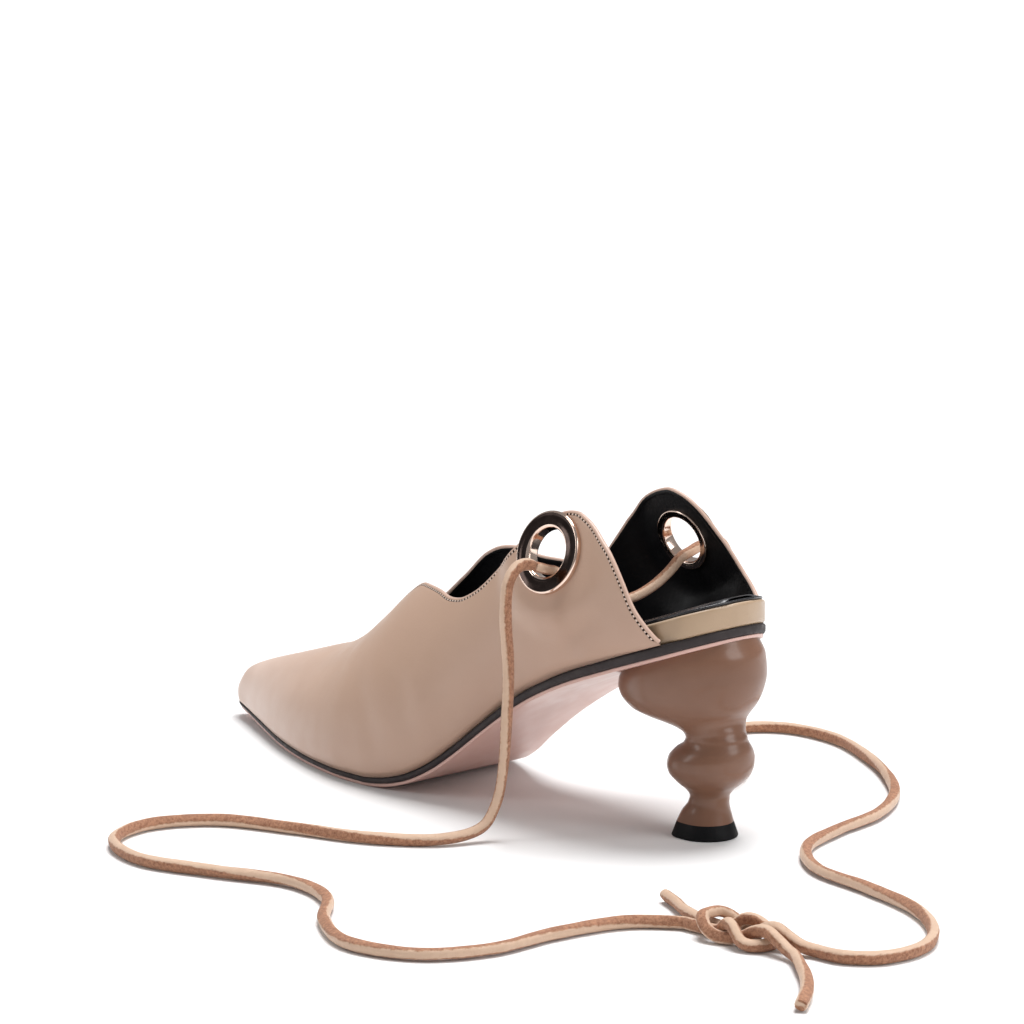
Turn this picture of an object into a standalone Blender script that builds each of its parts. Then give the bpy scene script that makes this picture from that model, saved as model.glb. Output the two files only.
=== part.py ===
"""Lace up heel: a pointed open-back shoe on a turned heel, with an eyelet on each ankle flap and one long lace.

Left shoe, in metres. The toe points to -X, the inner (medial) side of the foot to +Y, and +Z is up.
The origin is on the flat spot of the forefoot tread, on the floor.
A station is a share of the shoe's length, 0 at the toe tip and 1 at the back of the seat.
"""

from collections import namedtuple
from math import cos, pi, sin, sqrt, tan

import bmesh
import bpy
import numpy as np
from mathutils import Vector

# Driving sizes
SHOE_LENGTH = 0.2510
TREAD_FROM_TIP = 0.105
BALL_WIDTH = 0.069
SEAT_WIDTH = 0.0530
HEEL_HEIGHT = 0.066
TOE_SPRING = 0.0037
CROWN_HEIGHT = 0.150
TIP_ROUND = 0.0060
NOSE_LEAN = 0.0015
UPPER_WALL = 0.0017
FIT = 0.0003

# Sole parts
OUTSOLE_THICKNESS = 0.0010
OUTSOLE_INSET = 0.0010
BAND_THICKNESS = 0.0031
BOARD_THICKNESS = 0.0078
SOCK_THICKNESS = 0.0008
SOCK_INSET = 0.0012
SEAT_EDGE_INSET = 0.0004
BOARD_SIDE_FIT = 0.0006

# Heel
HEEL_FROM_BACK = 0.0160
HEEL_WAIST_WIDTH = 0.0200
TOP_PIECE_HEIGHT = 0.0048

# Eyelets
EYELET_LATERAL_STATION = 0.771
EYELET_MEDIAL_STATION = 0.787
EYELET_LATERAL_HEIGHT = 0.0898
EYELET_MEDIAL_HEIGHT = 0.0883
EYELET_DIAMETER = 0.0272
EYELET_BORE = 0.0160
EYELET_FLANGE = 0.0016
EYELET_TUBE_WALL = 0.0007
WASHER_DIAMETER = 0.0215
WASHER_THICKNESS = 0.0009
FLAP_WIDTH_SHARE = 0.4232
FLAP_HALF_WIDTH = FLAP_WIDTH_SHARE * BALL_WIDTH
FLAP_LEAN = 0.31
FLAT_AROUND_EYELET = 0.0165
FLAT_FADES_OVER = 0.0120

# Lace
LACE_DIAMETER = 0.0040
KNOT_LENGTH = 0.0240
KNOT_PLACE = (0.2220, -0.0800)

# Mesh fineness
UPPER_STATIONS = 50
UPPER_COLUMNS = 10
SOLE_STATIONS = 40
HEEL_SIDES = 28
TURNED_STEPS = 28
LACE_POINTS_PER_SPAN = 2

# The sole: half widths in shares of BALL_WIDTH, rise of the underside in shares of HEEL_HEIGHT,
# toe spring in shares of TOE_SPRING, thickness of the dark band and of the board in shares of their own.
Sole = namedtuple("Sole", "station lateral medial rise spring band board")
SOLE = [
    Sole(0.000, 0.050, 0.050, 0.000, 1.00, 0.36, 0.30),
    Sole(0.030, 0.092, 0.092, 0.000, 0.80, 0.46, 0.30),
    Sole(0.115, 0.228, 0.250, 0.000, 0.42, 0.60, 0.30),
    Sole(0.210, 0.380, 0.385, 0.000, 0.14, 0.62, 0.30),
    Sole(0.290, 0.482, 0.445, 0.000, 0.02, 0.58, 0.30),
    Sole(0.350, 0.538, 0.462, 0.000, 0.00, 0.55, 0.30),
    Sole(0.400, 0.568, 0.440, 0.000, 0.00, 0.55, 0.30),
    Sole(0.445, 0.572, 0.390, 0.000, 0.00, 0.56, 0.32),
    Sole(0.480, 0.560, 0.340, 0.012, 0.00, 0.59, 0.34),
    Sole(0.517, 0.540, 0.290, 0.047, 0.00, 0.63, 0.37),
    Sole(0.557, 0.508, 0.245, 0.122, 0.00, 0.68, 0.42),
    Sole(0.596, 0.465, 0.220, 0.234, 0.00, 0.74, 0.48),
    Sole(0.636, 0.430, 0.240, 0.362, 0.00, 0.79, 0.56),
    Sole(0.676, 0.403, 0.290, 0.480, 0.00, 0.84, 0.65),
    Sole(0.716, 0.388, 0.333, 0.578, 0.00, 0.88, 0.75),
    Sole(0.775, 0.380, 0.370, 0.686, 0.00, 0.94, 0.88),
    Sole(0.855, 0.384, 0.384, 0.800, 0.00, 1.00, 1.00),
    Sole(0.934, 0.384, 0.384, 0.906, 0.00, 1.00, 1.00),
    Sole(1.000, 0.384, 0.384, 1.000, 0.00, 1.00, 1.00),
]

# The last over the sole: crown line above the floor in shares of CROWN_HEIGHT, roundness of the
# section (2 is an ellipse), belly beyond the feather edge and lean of the crown to the medial side
# in shares of BALL_WIDTH.
Last = namedtuple("Last", "station crown roundness belly lean")
LAST = [
    Last(0.000, 0.088, 2.0, 0.004, 0.000),
    Last(0.012, 0.110, 2.0, 0.006, 0.000),
    Last(0.030, 0.129, 2.0, 0.008, 0.000),
    Last(0.060, 0.149, 2.05, 0.010, 0.000),
    Last(0.095, 0.168, 2.1, 0.012, 0.000),
    Last(0.132, 0.186, 2.1, 0.014, 0.000),
    Last(0.220, 0.230, 2.1, 0.016, 0.003),
    Last(0.263, 0.251, 2.1, 0.018, 0.006),
    Last(0.330, 0.306, 2.1, 0.024, 0.012),
    Last(0.398, 0.392, 2.1, 0.030, 0.018),
    Last(0.440, 0.456, 2.1, 0.035, 0.020),
    Last(0.480, 0.513, 2.1, 0.042, 0.022),
    Last(0.560, 0.600, 2.1, 0.062, 0.020),
    Last(0.640, 0.700, 2.15, 0.082, 0.012),
    Last(0.720, 0.800, 2.2, 0.098, 0.004),
    Last(0.800, 0.870, 2.2, 0.100, 0.000),
    Last(0.880, 0.900, 2.2, 0.080, 0.000),
    Last(1.000, 0.900, 2.2, 0.040, 0.000),
]

# The topline of each side, in shares of the way from the feather edge (0) up to the crown line (1).
Topline = namedtuple("Topline", "station lateral medial")
THROAT_STATION = 0.263
FLAP_END_FROM_BACK = 0.01355
FLAP_END_STATION = 1 - FLAP_END_FROM_BACK / SHOE_LENGTH
TOPLINE = [
    Topline(THROAT_STATION, 1.000, 1.000),
    Topline(0.300, 0.900, 0.940),
    Topline(0.340, 0.830, 0.900),
    Topline(0.380, 0.776, 0.870),
    Topline(0.420, 0.738, 0.843),
    Topline(0.455, 0.712, 0.825),
    Topline(0.483, 0.680, 0.825),
    Topline(0.507, 0.628, 0.806),
    Topline(0.543, 0.550, 0.718),
    Topline(0.579, 0.462, 0.580),
    Topline(0.605, 0.419, 0.505),
    Topline(0.635, 0.399, 0.430),
    Topline(0.666, 0.409, 0.388),
    Topline(0.700, 0.418, 0.470),
    Topline(0.730, 0.442, 0.508),
    Topline(0.772, 0.455, 0.486),
    Topline(0.800, 0.437, 0.440),
    Topline(0.821, 0.400, 0.388),
    Topline(0.856, 0.322, 0.265),
    Topline(0.879, 0.273, 0.172),
    Topline(0.905, 0.188, 0.104),
    Topline(0.924, 0.101, 0.060),
    Topline(FLAP_END_STATION, 0.012, 0.012),
]

# The turned heel: level in shares of HEEL_HEIGHT, centre, front, back and side reach in shares of
# HEEL_WAIST_WIDTH, how much of the seat's slope the ring takes, and squareness of the front.
Ring = namedtuple("Ring", "level centre front back side slope square")
HEEL = [
    Ring(0.000, 0.04, 0.42, 0.44, 0.435, 0.00, 0.50),
    Ring(0.055, 0.05, 0.375, 0.39, 0.388, 0.00, 0.60),
    Ring(0.118, 0.10, 0.32, 0.325, 0.323, 0.00, 0.80),
    Ring(0.149, 0.11, 0.32, 0.32, 0.320, 0.00, 1.00),
    Ring(0.187, 0.11, 0.38, 0.38, 0.380, 0.00, 1.00),
    Ring(0.236, 0.11, 0.54, 0.54, 0.538, 0.00, 1.00),
    Ring(0.293, 0.11, 0.67, 0.67, 0.670, 0.00, 1.00),
    Ring(0.337, 0.12, 0.70, 0.70, 0.702, 0.00, 1.00),
    Ring(0.375, 0.14, 0.69, 0.69, 0.695, 0.00, 1.00),
    Ring(0.419, 0.19, 0.63, 0.63, 0.630, 0.00, 1.00),
    Ring(0.457, 0.25, 0.53, 0.53, 0.530, 0.00, 1.00),
    Ring(0.488, 0.25, 0.495, 0.495, 0.495, 0.00, 1.00),
    Ring(0.518, 0.21, 0.50, 0.50, 0.500, 0.00, 1.00),
    Ring(0.562, 0.10, 0.58, 0.57, 0.570, 0.02, 1.00),
    Ring(0.606, -0.05, 0.73, 0.69, 0.700, 0.05, 1.00),
    Ring(0.646, -0.18, 0.90, 0.85, 0.840, 0.08, 1.00),
    Ring(0.693, -0.27, 1.07, 1.03, 0.970, 0.12, 1.00),
    Ring(0.779, -0.30, 1.22, 1.20, 1.080, 0.24, 1.00),
    Ring(0.855, -0.30, 1.27, 1.27, 1.100, 0.44, 1.00),
    Ring(0.931, -0.30, 1.27, 1.24, 1.080, 0.72, 1.00),
    Ring(1.000, -0.30, 1.25, 1.10, 1.020, 1.00, 1.00),
]

# The lace's routes from each eyelet to the knot, in metres, chosen by hand
LATERAL_ROUTE = [
    (0.0885, -0.0365, 0.0866),
    (0.0885, -0.0400, 0.0875),
    (0.0886, -0.0438, 0.0869),
    (0.0888, -0.0470, 0.0839),
    (0.0890, -0.0487, 0.0794),
    (0.0893, -0.0493, 0.0700),
    (0.0898, -0.0486, 0.0540),
    (0.0900, -0.0496, 0.0380),
    (0.0900, -0.0512, 0.0220),
    (0.0896, -0.0542, 0.0110),
    (0.0880, -0.0602, 0.0040),
    (0.0820, -0.0740, 0.0021),
    (0.0640, -0.0880, 0.0021),
    (0.0400, -0.0970, 0.0021),
    (0.0160, -0.1080, 0.0021),
    (0.0050, -0.1280, 0.0021),
    (0.0130, -0.1480, 0.0021),
    (0.0370, -0.1560, 0.0021),
    (0.0630, -0.1480, 0.0021),
    (0.0880, -0.1380, 0.0021),
    (0.1100, -0.1420, 0.0021),
    (0.1280, -0.1580, 0.0021),
    (0.1500, -0.1680, 0.0021),
    (0.1720, -0.1610, 0.0021),
    (0.1830, -0.1420, 0.0021),
    (0.1840, -0.1180, 0.0021),
    (0.1890, -0.0960, 0.0021),
]
MEDIAL_ROUTE = [
    (0.0925, 0.0365, 0.0851),
    (0.0925, 0.0400, 0.0860),
    (0.0926, 0.0438, 0.0854),
    (0.0927, 0.0470, 0.0824),
    (0.0928, 0.0487, 0.0774),
    (0.0930, 0.0493, 0.0680),
    (0.0932, 0.0486, 0.0530),
    (0.0932, 0.0496, 0.0370),
    (0.0928, 0.0512, 0.0220),
    (0.0918, 0.0545, 0.0110),
    (0.0890, 0.0605, 0.0040),
    (0.0800, 0.0720, 0.0021),
    (0.0640, 0.0820, 0.0021),
    (0.0480, 0.0940, 0.0021),
    (0.0420, 0.1100, 0.0021),
    (0.0540, 0.1220, 0.0021),
    (0.0760, 0.1220, 0.0021),
    (0.1000, 0.1110, 0.0021),
    (0.1230, 0.0960, 0.0021),
    (0.1430, 0.0770, 0.0021),
    (0.1560, 0.0540, 0.0021),
    (0.1610, 0.0290, 0.0021),
    (0.1690, 0.0060, 0.0021),
    (0.1880, -0.0100, 0.0021),
    (0.2130, -0.0150, 0.0021),
    (0.2380, -0.0220, 0.0021),
    (0.2560, -0.0345, 0.0021),
    (0.2660, -0.0500, 0.0021),
    (0.2655, -0.0655, 0.0021),
    (0.2575, -0.0742, 0.0021),
]


def clear_scene():
    for obj in list(bpy.data.objects):
        bpy.data.objects.remove(obj, do_unlink=True)


def collection(name, hidden=False):
    made = bpy.data.collections.new(name)
    bpy.context.scene.collection.children.link(made)
    made.hide_render = hidden
    return made


def material(name, colour, roughness, metallic=0.0):
    made = bpy.data.materials.new(name)
    made.use_nodes = True
    shader = made.node_tree.nodes["Principled BSDF"]
    shader.inputs["Base Color"].default_value = (*colour, 1.0)
    shader.inputs["Roughness"].default_value = roughness
    shader.inputs["Metallic"].default_value = metallic
    made.diffuse_color = (*colour, 1.0)
    return made


def at(rows, column, station):
    """One column of a table at a station, on a smooth curve that never overshoots its rows."""
    xs = np.array([row[0] for row in rows])
    ys = np.array([getattr(row, column) for row in rows])
    step = np.diff(xs)
    slope = np.diff(ys) / step
    tangent = np.zeros_like(ys)
    for i in range(1, len(ys) - 1):
        if slope[i - 1] * slope[i] > 0:
            tangent[i] = 2 * slope[i - 1] * slope[i] / (slope[i - 1] + slope[i])
    tangent[0] = slope[0]
    tangent[-1] = slope[-1]
    i = int(np.clip(np.searchsorted(xs, station, "right") - 1, 0, len(step) - 1))
    t = float(np.clip((station - xs[i]) / step[i], 0.0, 1.0))
    return float(
        (1 + 2 * t) * (1 - t) ** 2 * ys[i]
        + t * (1 - t) ** 2 * step[i] * tangent[i]
        + t**2 * (3 - 2 * t) * ys[i + 1]
        + t**2 * (t - 1) * step[i] * tangent[i + 1]
    )


def x_at(station):
    return station * SHOE_LENGTH - TREAD_FROM_TIP


def station_at(x):
    return (x + TREAD_FROM_TIP) / SHOE_LENGTH


def rounded_end(distance, radius):
    """Share of the full width left at a distance from a round end."""
    if distance >= radius:
        return 1.0
    return sqrt(max(0.0, 1 - (1 - max(distance, 0.0) / radius) ** 2))


def half_width(station, side):
    """Half width of the feather edge, side -1 lateral and +1 medial, always positive."""
    share = at(SOLE, "lateral" if side < 0 else "medial", station)
    tip = rounded_end(station * SHOE_LENGTH, TIP_ROUND)
    back = rounded_end((1 - station) * SHOE_LENGTH, SEAT_WIDTH / 2)
    return share * BALL_WIDTH * tip * back


def under_height(station):
    """Underside of the outsole above the floor."""
    return at(SOLE, "rise", station) * HEEL_HEIGHT + at(SOLE, "spring", station) * TOE_SPRING


def band_bottom(station):
    return under_height(station) + OUTSOLE_THICKNESS + FIT


def band_top(station):
    return band_bottom(station) + at(SOLE, "band", station) * BAND_THICKNESS


def board_bottom(station):
    return band_top(station) + FIT


def board_top(station):
    return board_bottom(station) + at(SOLE, "board", station) * BOARD_THICKNESS


def faded(distance, flat, fade):
    """1 within the flat radius, falling smoothly to 0 over the fade."""
    t = float(np.clip((distance - flat) / fade, 0.0, 1.0))
    return 1 - t * t * (3 - 2 * t)


def eyelet_x(side):
    return x_at(EYELET_LATERAL_STATION if side < 0 else EYELET_MEDIAL_STATION)


def eyelet_height(side):
    return EYELET_LATERAL_HEIGHT if side < 0 else EYELET_MEDIAL_HEIGHT


def upper_point(station, share, side):
    """Outer face of the upper, share 0 at the feather edge and 1 on the crown line."""
    power = 2 / at(LAST, "roundness", station)
    up = sin(share * pi / 2) ** power
    out = max(0.0, cos(share * pi / 2)) ** power
    foot = board_bottom(station)
    crown = at(LAST, "crown", station) * CROWN_HEIGHT
    lean = at(LAST, "lean", station) * BALL_WIDTH
    belly = at(LAST, "belly", station) * BALL_WIDTH * sin(pi * up**0.6)
    tip = rounded_end(station * SHOE_LENGTH, TIP_ROUND)
    y = lean * (1 - out) + side * (half_width(station, side) * out + belly * tip)
    z = foot + (crown - foot) * up
    nose = faded(station * SHOE_LENGTH, 0.0, TIP_ROUND)
    x = x_at(station) + NOSE_LEAN * nose * (up - sin(pi * up))
    over = z - eyelet_height(side)
    apart = sqrt((x - eyelet_x(side)) ** 2 + over**2)
    flat = faded(apart, FLAT_AROUND_EYELET, FLAT_FADES_OVER)
    plane = side * (FLAP_HALF_WIDTH - over * tan(FLAP_LEAN))
    return Vector((x, y + (plane - y) * flat, z))


def topline_share(station, side):
    if station <= THROAT_STATION:
        return 1.0
    return at(TOPLINE, "lateral" if side < 0 else "medial", station)


def eased(count, start, end):
    """Values from start to end, closer together near both ends."""
    return [start + (end - start) * (1 - cos(pi * i / count)) / 2 for i in range(count + 1)]


def finish_mesh(name, mesh, parts, finish):
    """An object from a bmesh, welded and shaded smooth."""
    bmesh.ops.remove_doubles(mesh, verts=mesh.verts, dist=1e-6)
    data = bpy.data.meshes.new(name)
    mesh.to_mesh(data)
    mesh.free()
    data.materials.append(finish)
    data.shade_smooth()
    data.set_sharp_from_angle(angle=0.6)
    obj = bpy.data.objects.new(name, data)
    parts.objects.link(obj)
    return obj


def loft(name, rings, parts, finish):
    """A closed solid through rings of points, each with the same count, with a flat cap on both ends."""
    mesh = bmesh.new()
    made = [[mesh.verts.new(point) for point in ring] for ring in rings]
    for low, high in zip(made, made[1:]):
        for i in range(len(low)):
            j = (i + 1) % len(low)
            mesh.faces.new((low[i], low[j], high[j], high[i]))
    mesh.faces.new(made[0])
    mesh.faces.new(reversed(made[-1]))
    bmesh.ops.recalc_face_normals(mesh, faces=mesh.faces)
    return finish_mesh(name, mesh, parts, finish)


def plate(name, stations, width, bottom, top, parts, finish):
    """A curved plate: width(station, side) gives its half widths, bottom and top its heights."""
    rings = []
    for station in stations:
        x = x_at(station)
        left = -width(station, -1)
        right = width(station, 1)
        middle = (left + right) / 2
        low = bottom(station)
        high = top(station)
        ring = [(x, left, low), (x, middle, low), (x, right, low)]
        ring += [(x, right, high), (x, middle, high), (x, left, high)]
        rings.append(ring)
    return loft(name, rings, parts, finish)


def make_upper(parts, cutters, finish):
    """Wall from the feather edge to the topline: the two sides meet on the crown line as far as the throat."""
    stations = sorted(eased(UPPER_STATIONS, 0.0, FLAP_END_STATION) + [THROAT_STATION])
    mesh = bmesh.new()
    for side in (-1, 1):
        grid = []
        for station in stations:
            top = topline_share(station, side)
            shares = [top * i / UPPER_COLUMNS for i in range(UPPER_COLUMNS + 1)]
            grid.append([mesh.verts.new(upper_point(station, share, side)) for share in shares])
        for ahead, behind in zip(grid, grid[1:]):
            for i in range(UPPER_COLUMNS):
                corners = (ahead[i], behind[i], behind[i + 1], ahead[i + 1])
                mesh.faces.new(corners if side < 0 else reversed(corners))
    upper = finish_mesh("upper", mesh, parts, finish)
    wall = upper.modifiers.new("Wall", "SOLIDIFY")
    wall.thickness = UPPER_WALL
    wall.offset = -1
    wall.use_even_offset = True
    for side in (-1, 1):
        hole = upper.modifiers.new("Eyelet hole", "BOOLEAN")
        hole.object = hole_cutter(side, cutters)
        hole.solver = "EXACT"
    return upper


def hole_cutter(side, cutters):
    """The round hole in a flap that the eyelet's tube passes through."""
    mesh = bmesh.new()
    radius = EYELET_BORE / 2 + EYELET_TUBE_WALL + FIT
    bmesh.ops.create_cone(
        mesh,
        cap_ends=True,
        segments=TURNED_STEPS,
        radius1=radius,
        radius2=radius,
        depth=HOLE_CUTTER_LENGTH,
    )
    data = bpy.data.meshes.new("hole")
    mesh.to_mesh(data)
    mesh.free()
    cutter = bpy.data.objects.new(f"hole_{'lateral' if side < 0 else 'medial'}", data)
    cutter.rotation_euler = (-side * (pi / 2 - FLAP_LEAN), 0, 0)
    cutter.location = (eyelet_x(side), side * FLAP_HALF_WIDTH, eyelet_height(side))
    cutter.hide_render = True
    cutter.display_type = "WIRE"
    cutters.objects.link(cutter)
    return cutter


# Long enough to pass the wall with room to spare
HOLE_CUTTER_LENGTH = 0.0200


def make_sole(parts, finishes):
    """Outsole, dark band, board with its wrapped seat, and sock."""
    tip = 0.0004

    def outsole_width(station, side):
        return max(half_width(station, side) - OUTSOLE_INSET, 0.0002)

    def board_width(station, side):
        inside = half_width(station, side) - UPPER_WALL - BOARD_SIDE_FIT
        outside = half_width(station, side) - SEAT_EDGE_INSET
        step = faded(FLAP_END_STATION + BOARD_STEP - station, 0.0, BOARD_STEP)
        return inside + (outside - inside) * step

    def sock_width(station, side):
        return board_width(station, side) - SOCK_INSET

    whole = eased(SOLE_STATIONS, tip, 1 - tip)
    plate("outsole", whole, outsole_width, under_height,
          lambda s: under_height(s) + OUTSOLE_THICKNESS, parts, finishes["outsole"])
    plate("edge_band", whole, half_width, band_bottom, band_top, parts, finishes["band"])
    within = [s for s in whole if BOARD_START < s < FLAP_END_STATION]
    within += [FLAP_END_STATION + BOARD_STEP * share for share in (0.0, 0.3, 0.5, 0.7, 1.0)]
    board = [BOARD_START] + within + [s for s in whole if FLAP_END_STATION + BOARD_STEP < s]
    plate("footbed", board, board_width, board_bottom, board_top, parts, finishes["board"])
    sock = [s for s in board if SOCK_START < s < 1 - SOCK_INSET / SHOE_LENGTH]
    plate("sock", sock, sock_width, lambda s: board_top(s) + FIT,
          lambda s: board_top(s) + FIT + SOCK_THICKNESS, parts, finishes["sock"])


# The board starts inside the toe, and widens to the seat's edge just behind the flaps
BOARD_START = 0.030
SOCK_START = 0.045
BOARD_STEP = 0.024


def heel_ring(row, grow=1.0, drop=None):
    """One ring of the heel. Near the seat it takes the slope of the outsole's underside."""
    axis = (1 - HEEL_FROM_BACK / SHOE_LENGTH)
    centre = x_at(axis) + row.centre * HEEL_WAIST_WIDTH
    seat = under_height(station_at(centre)) - FIT
    low = TOP_PIECE_HEIGHT + FIT
    level = low + (seat - low) * row.level if drop is None else drop
    ring = []
    for i in range(HEEL_SIDES):
        angle = 2 * pi * i / HEEL_SIDES
        ahead = cos(angle) < 0
        reach = row.front if ahead else row.back
        along = abs(cos(angle)) ** (row.square if ahead else 1.0)
        x = centre + (-1 if ahead else 1) * along * reach * HEEL_WAIST_WIDTH * grow
        y = sin(angle) * row.side * HEEL_WAIST_WIDTH * grow
        tilt = under_height(min(station_at(x), 1.0)) - FIT - seat
        ring.append((x, y, level + row.slope * tilt))
    return ring


def make_heel(parts, finishes):
    loft("heel", [heel_ring(row) for row in HEEL], parts, finishes["heel"])
    rings = [
        heel_ring(HEEL[0], TOP_PIECE_FLARE, 0.0),
        heel_ring(HEEL[0], 1.0, TOP_PIECE_HEIGHT),
    ]
    loft("top_piece", rings, parts, finishes["top_piece"])


# The top piece widens to the floor by this factor
TOP_PIECE_FLARE = 1.17


def make_eyelet(name, side, parts, finish):
    """A turned ring: broad flange outside the flap, tube through it, washer inside it."""
    bore = EYELET_BORE / 2
    tube = bore + EYELET_TUBE_WALL
    outer = EYELET_DIAMETER / 2
    washer = WASHER_DIAMETER / 2
    inner_face = -UPPER_WALL - FIT
    edge = EYELET_FLANGE / 4
    profile = [
        (bore + edge, FIT + EYELET_FLANGE),
        (outer - edge, FIT + EYELET_FLANGE),
        (outer, FIT + EYELET_FLANGE - edge),
        (outer, FIT),
        (tube, FIT),
        (tube, inner_face),
        (washer, inner_face),
        (washer, inner_face - WASHER_THICKNESS + edge),
        (washer - edge, inner_face - WASHER_THICKNESS),
        (bore + edge, inner_face - WASHER_THICKNESS),
        (bore, inner_face - WASHER_THICKNESS + edge),
        (bore, FIT + EYELET_FLANGE - edge),
    ]
    mesh = bmesh.new()
    points = [mesh.verts.new((radius, 0, height)) for radius, height in profile]
    for here, there in zip(points, points[1:] + points[:1]):
        mesh.edges.new((here, there))
    data = bpy.data.meshes.new(name)
    mesh.to_mesh(data)
    mesh.free()
    data.materials.append(finish)
    obj = bpy.data.objects.new(name, data)
    turn = obj.modifiers.new("Turn", "SCREW")
    turn.steps = TURNED_STEPS
    turn.render_steps = TURNED_STEPS
    turn.use_merge_vertices = True
    turn.merge_threshold = 0.00001
    turn.use_smooth_shade = True
    obj.rotation_euler = (-side * (pi / 2 - FLAP_LEAN), 0, 0)
    obj.location = (eyelet_x(side), side * FLAP_HALF_WIDTH, eyelet_height(side))
    parts.objects.link(obj)


def through(points, per_span):
    """Points on a smooth curve through the given ones, some for each span between them."""
    points = [Vector(point) for point in points]
    ends = [2 * points[0] - points[1]] + points + [2 * points[-1] - points[-2]]
    found = []
    for a, b, c, d in zip(ends, ends[1:], ends[2:], ends[3:]):
        for i in range(per_span):
            t = i / per_span
            found.append(
                0.5 * ((2 * b) + (c - a) * t + (2 * a - 5 * b + 4 * c - d) * t**2
                       + (3 * b - a - 3 * c + d) * t**3)
            )
    return found + [points[-1]]


def cord(name, points, parts, finish, per_span=LACE_POINTS_PER_SPAN):
    """A stretch of lace: a round tube with closed ends."""
    data = bpy.data.curves.new(name, "CURVE")
    data.dimensions = "3D"
    data.bevel_depth = LACE_DIAMETER / 2
    data.bevel_resolution = 2
    data.use_fill_caps = True
    smooth = through(points, per_span)
    spline = data.splines.new("POLY")
    spline.points.add(len(smooth) - 1)
    for point, place in zip(spline.points, smooth):
        point.co = (*place, 1.0)
    data.materials.append(finish)
    obj = bpy.data.objects.new(name, data)
    parts.objects.link(obj)
    return obj


def as_mesh(obj, parts):
    """The mesh of a curve object, welded, in its place."""
    graph = bpy.context.evaluated_depsgraph_get()
    data = bpy.data.meshes.new_from_object(obj.evaluated_get(graph))
    mesh = bmesh.new()
    mesh.from_mesh(data)
    bmesh.ops.remove_doubles(mesh, verts=mesh.verts, dist=1e-6)
    mesh.to_mesh(data)
    mesh.free()
    name = obj.name
    place = obj.matrix_world.copy()
    bpy.data.objects.remove(obj, do_unlink=True)
    made = bpy.data.objects.new(name, data)
    made.matrix_world = place
    parts.objects.link(made)
    return made


def make_lace_bar(parts, finish):
    """The lace between the eyelets: it rests on the low edge of each bore and hangs slack across the opening."""
    outside = EYELET_FLANGE + LACE_DIAMETER
    inside = -UPPER_WALL - WASHER_THICKNESS - LACE_DIAMETER / 2
    first = bore_rest(-1, inside)
    last = bore_rest(1, inside)
    points = [bore_rest(-1, outside), bore_rest(-1, 0.0), first]
    for share in (0.10, 0.22, 0.36, 0.50, 0.64, 0.78, 0.90):
        place = first.lerp(last, share)
        place.z -= BAR_SAG * 4 * share * (1 - share)
        points.append(place)
    points += [last, bore_rest(1, 0.0), bore_rest(1, outside)]
    cord("lace_bar", points, parts, finish)


def bore_rest(side, along):
    """Middle of a lace that lies in the low side of an eyelet's bore, at a distance out along its axis."""
    axis = Vector((0, side * cos(FLAP_LEAN), sin(FLAP_LEAN)))
    down = Vector((0, side * sin(FLAP_LEAN), -cos(FLAP_LEAN)))
    centre = Vector((eyelet_x(side), side * FLAP_HALF_WIDTH, eyelet_height(side)))
    rest = EYELET_BORE / 2 - LACE_DIAMETER / 2 - LACE_IN_BORE_FIT
    return centre + axis * along + down * rest


# The slack of the bar at the middle of its span, and its clearance over the bore
BAR_SAG = 0.0120
LACE_IN_BORE_FIT = 0.0006


def knot_bight(side):
    """Half of the reef knot: a bight that opens to one side, in the knot's own frame."""
    reach = KNOT_LENGTH / 2
    half = LACE_DIAMETER * (0.85 if side < 0 else 0.90)
    low = LACE_DIAMETER * (0.53 if side < 0 else 0.60)
    high = LACE_DIAMETER * (1.10 if side < 0 else 1.22)
    return [
        (side * reach, half, low),
        (side * reach * 0.80, half, low * 1.04),
        (side * reach * 0.45, half * 1.03, high),
        (-side * reach * 0.25, half * 1.08, low),
        (-side * reach * 0.55, half * 0.8, low * 1.05),
        (-side * reach * 0.68, half * 0.02, low * 1.1),
        (-side * reach * 0.55, -half * 0.77, low),
        (-side * reach * 0.25, -half * 1.05, low * 1.02),
        (side * reach * 0.45, -half * 0.98, high * 0.97),
        (side * reach * 0.80, -half, low * 1.04),
        (side * reach, -half, low),
    ]


def in_knot(point):
    return (point[0] + KNOT_PLACE[0], point[1] + KNOT_PLACE[1], point[2])


def make_knot(parts, cutters, finish):
    """The reef knot on the floor, its two bights joined into one solid, and the two bare tails."""
    first = as_mesh(cord("lace_knot", map(in_knot, knot_bight(-1)), parts, finish), parts)
    second = as_mesh(cord("knot_bight", map(in_knot, knot_bight(1)), cutters, finish), cutters)
    second.hide_render = True
    second.display_type = "WIRE"
    join = first.modifiers.new("Second bight", "BOOLEAN")
    join.operation = "UNION"
    join.object = second
    join.solver = "EXACT"
    for name, tail in (("lace_tail_lateral", LATERAL_TAIL), ("lace_tail_medial", MEDIAL_TAIL)):
        cord(name, map(in_knot, tail), parts, finish)


# The last stretch of each route as it reaches the knot, in the knot's own frame
LATERAL_LEAD = [
    (-0.0200, -0.0046, 0.0021),
    (-0.0123, -0.0034, 0.0021),
]
MEDIAL_LEAD = [
    (0.0215, 0.0060, 0.0022),
    (0.0125, 0.0038, 0.0024),
]

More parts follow.
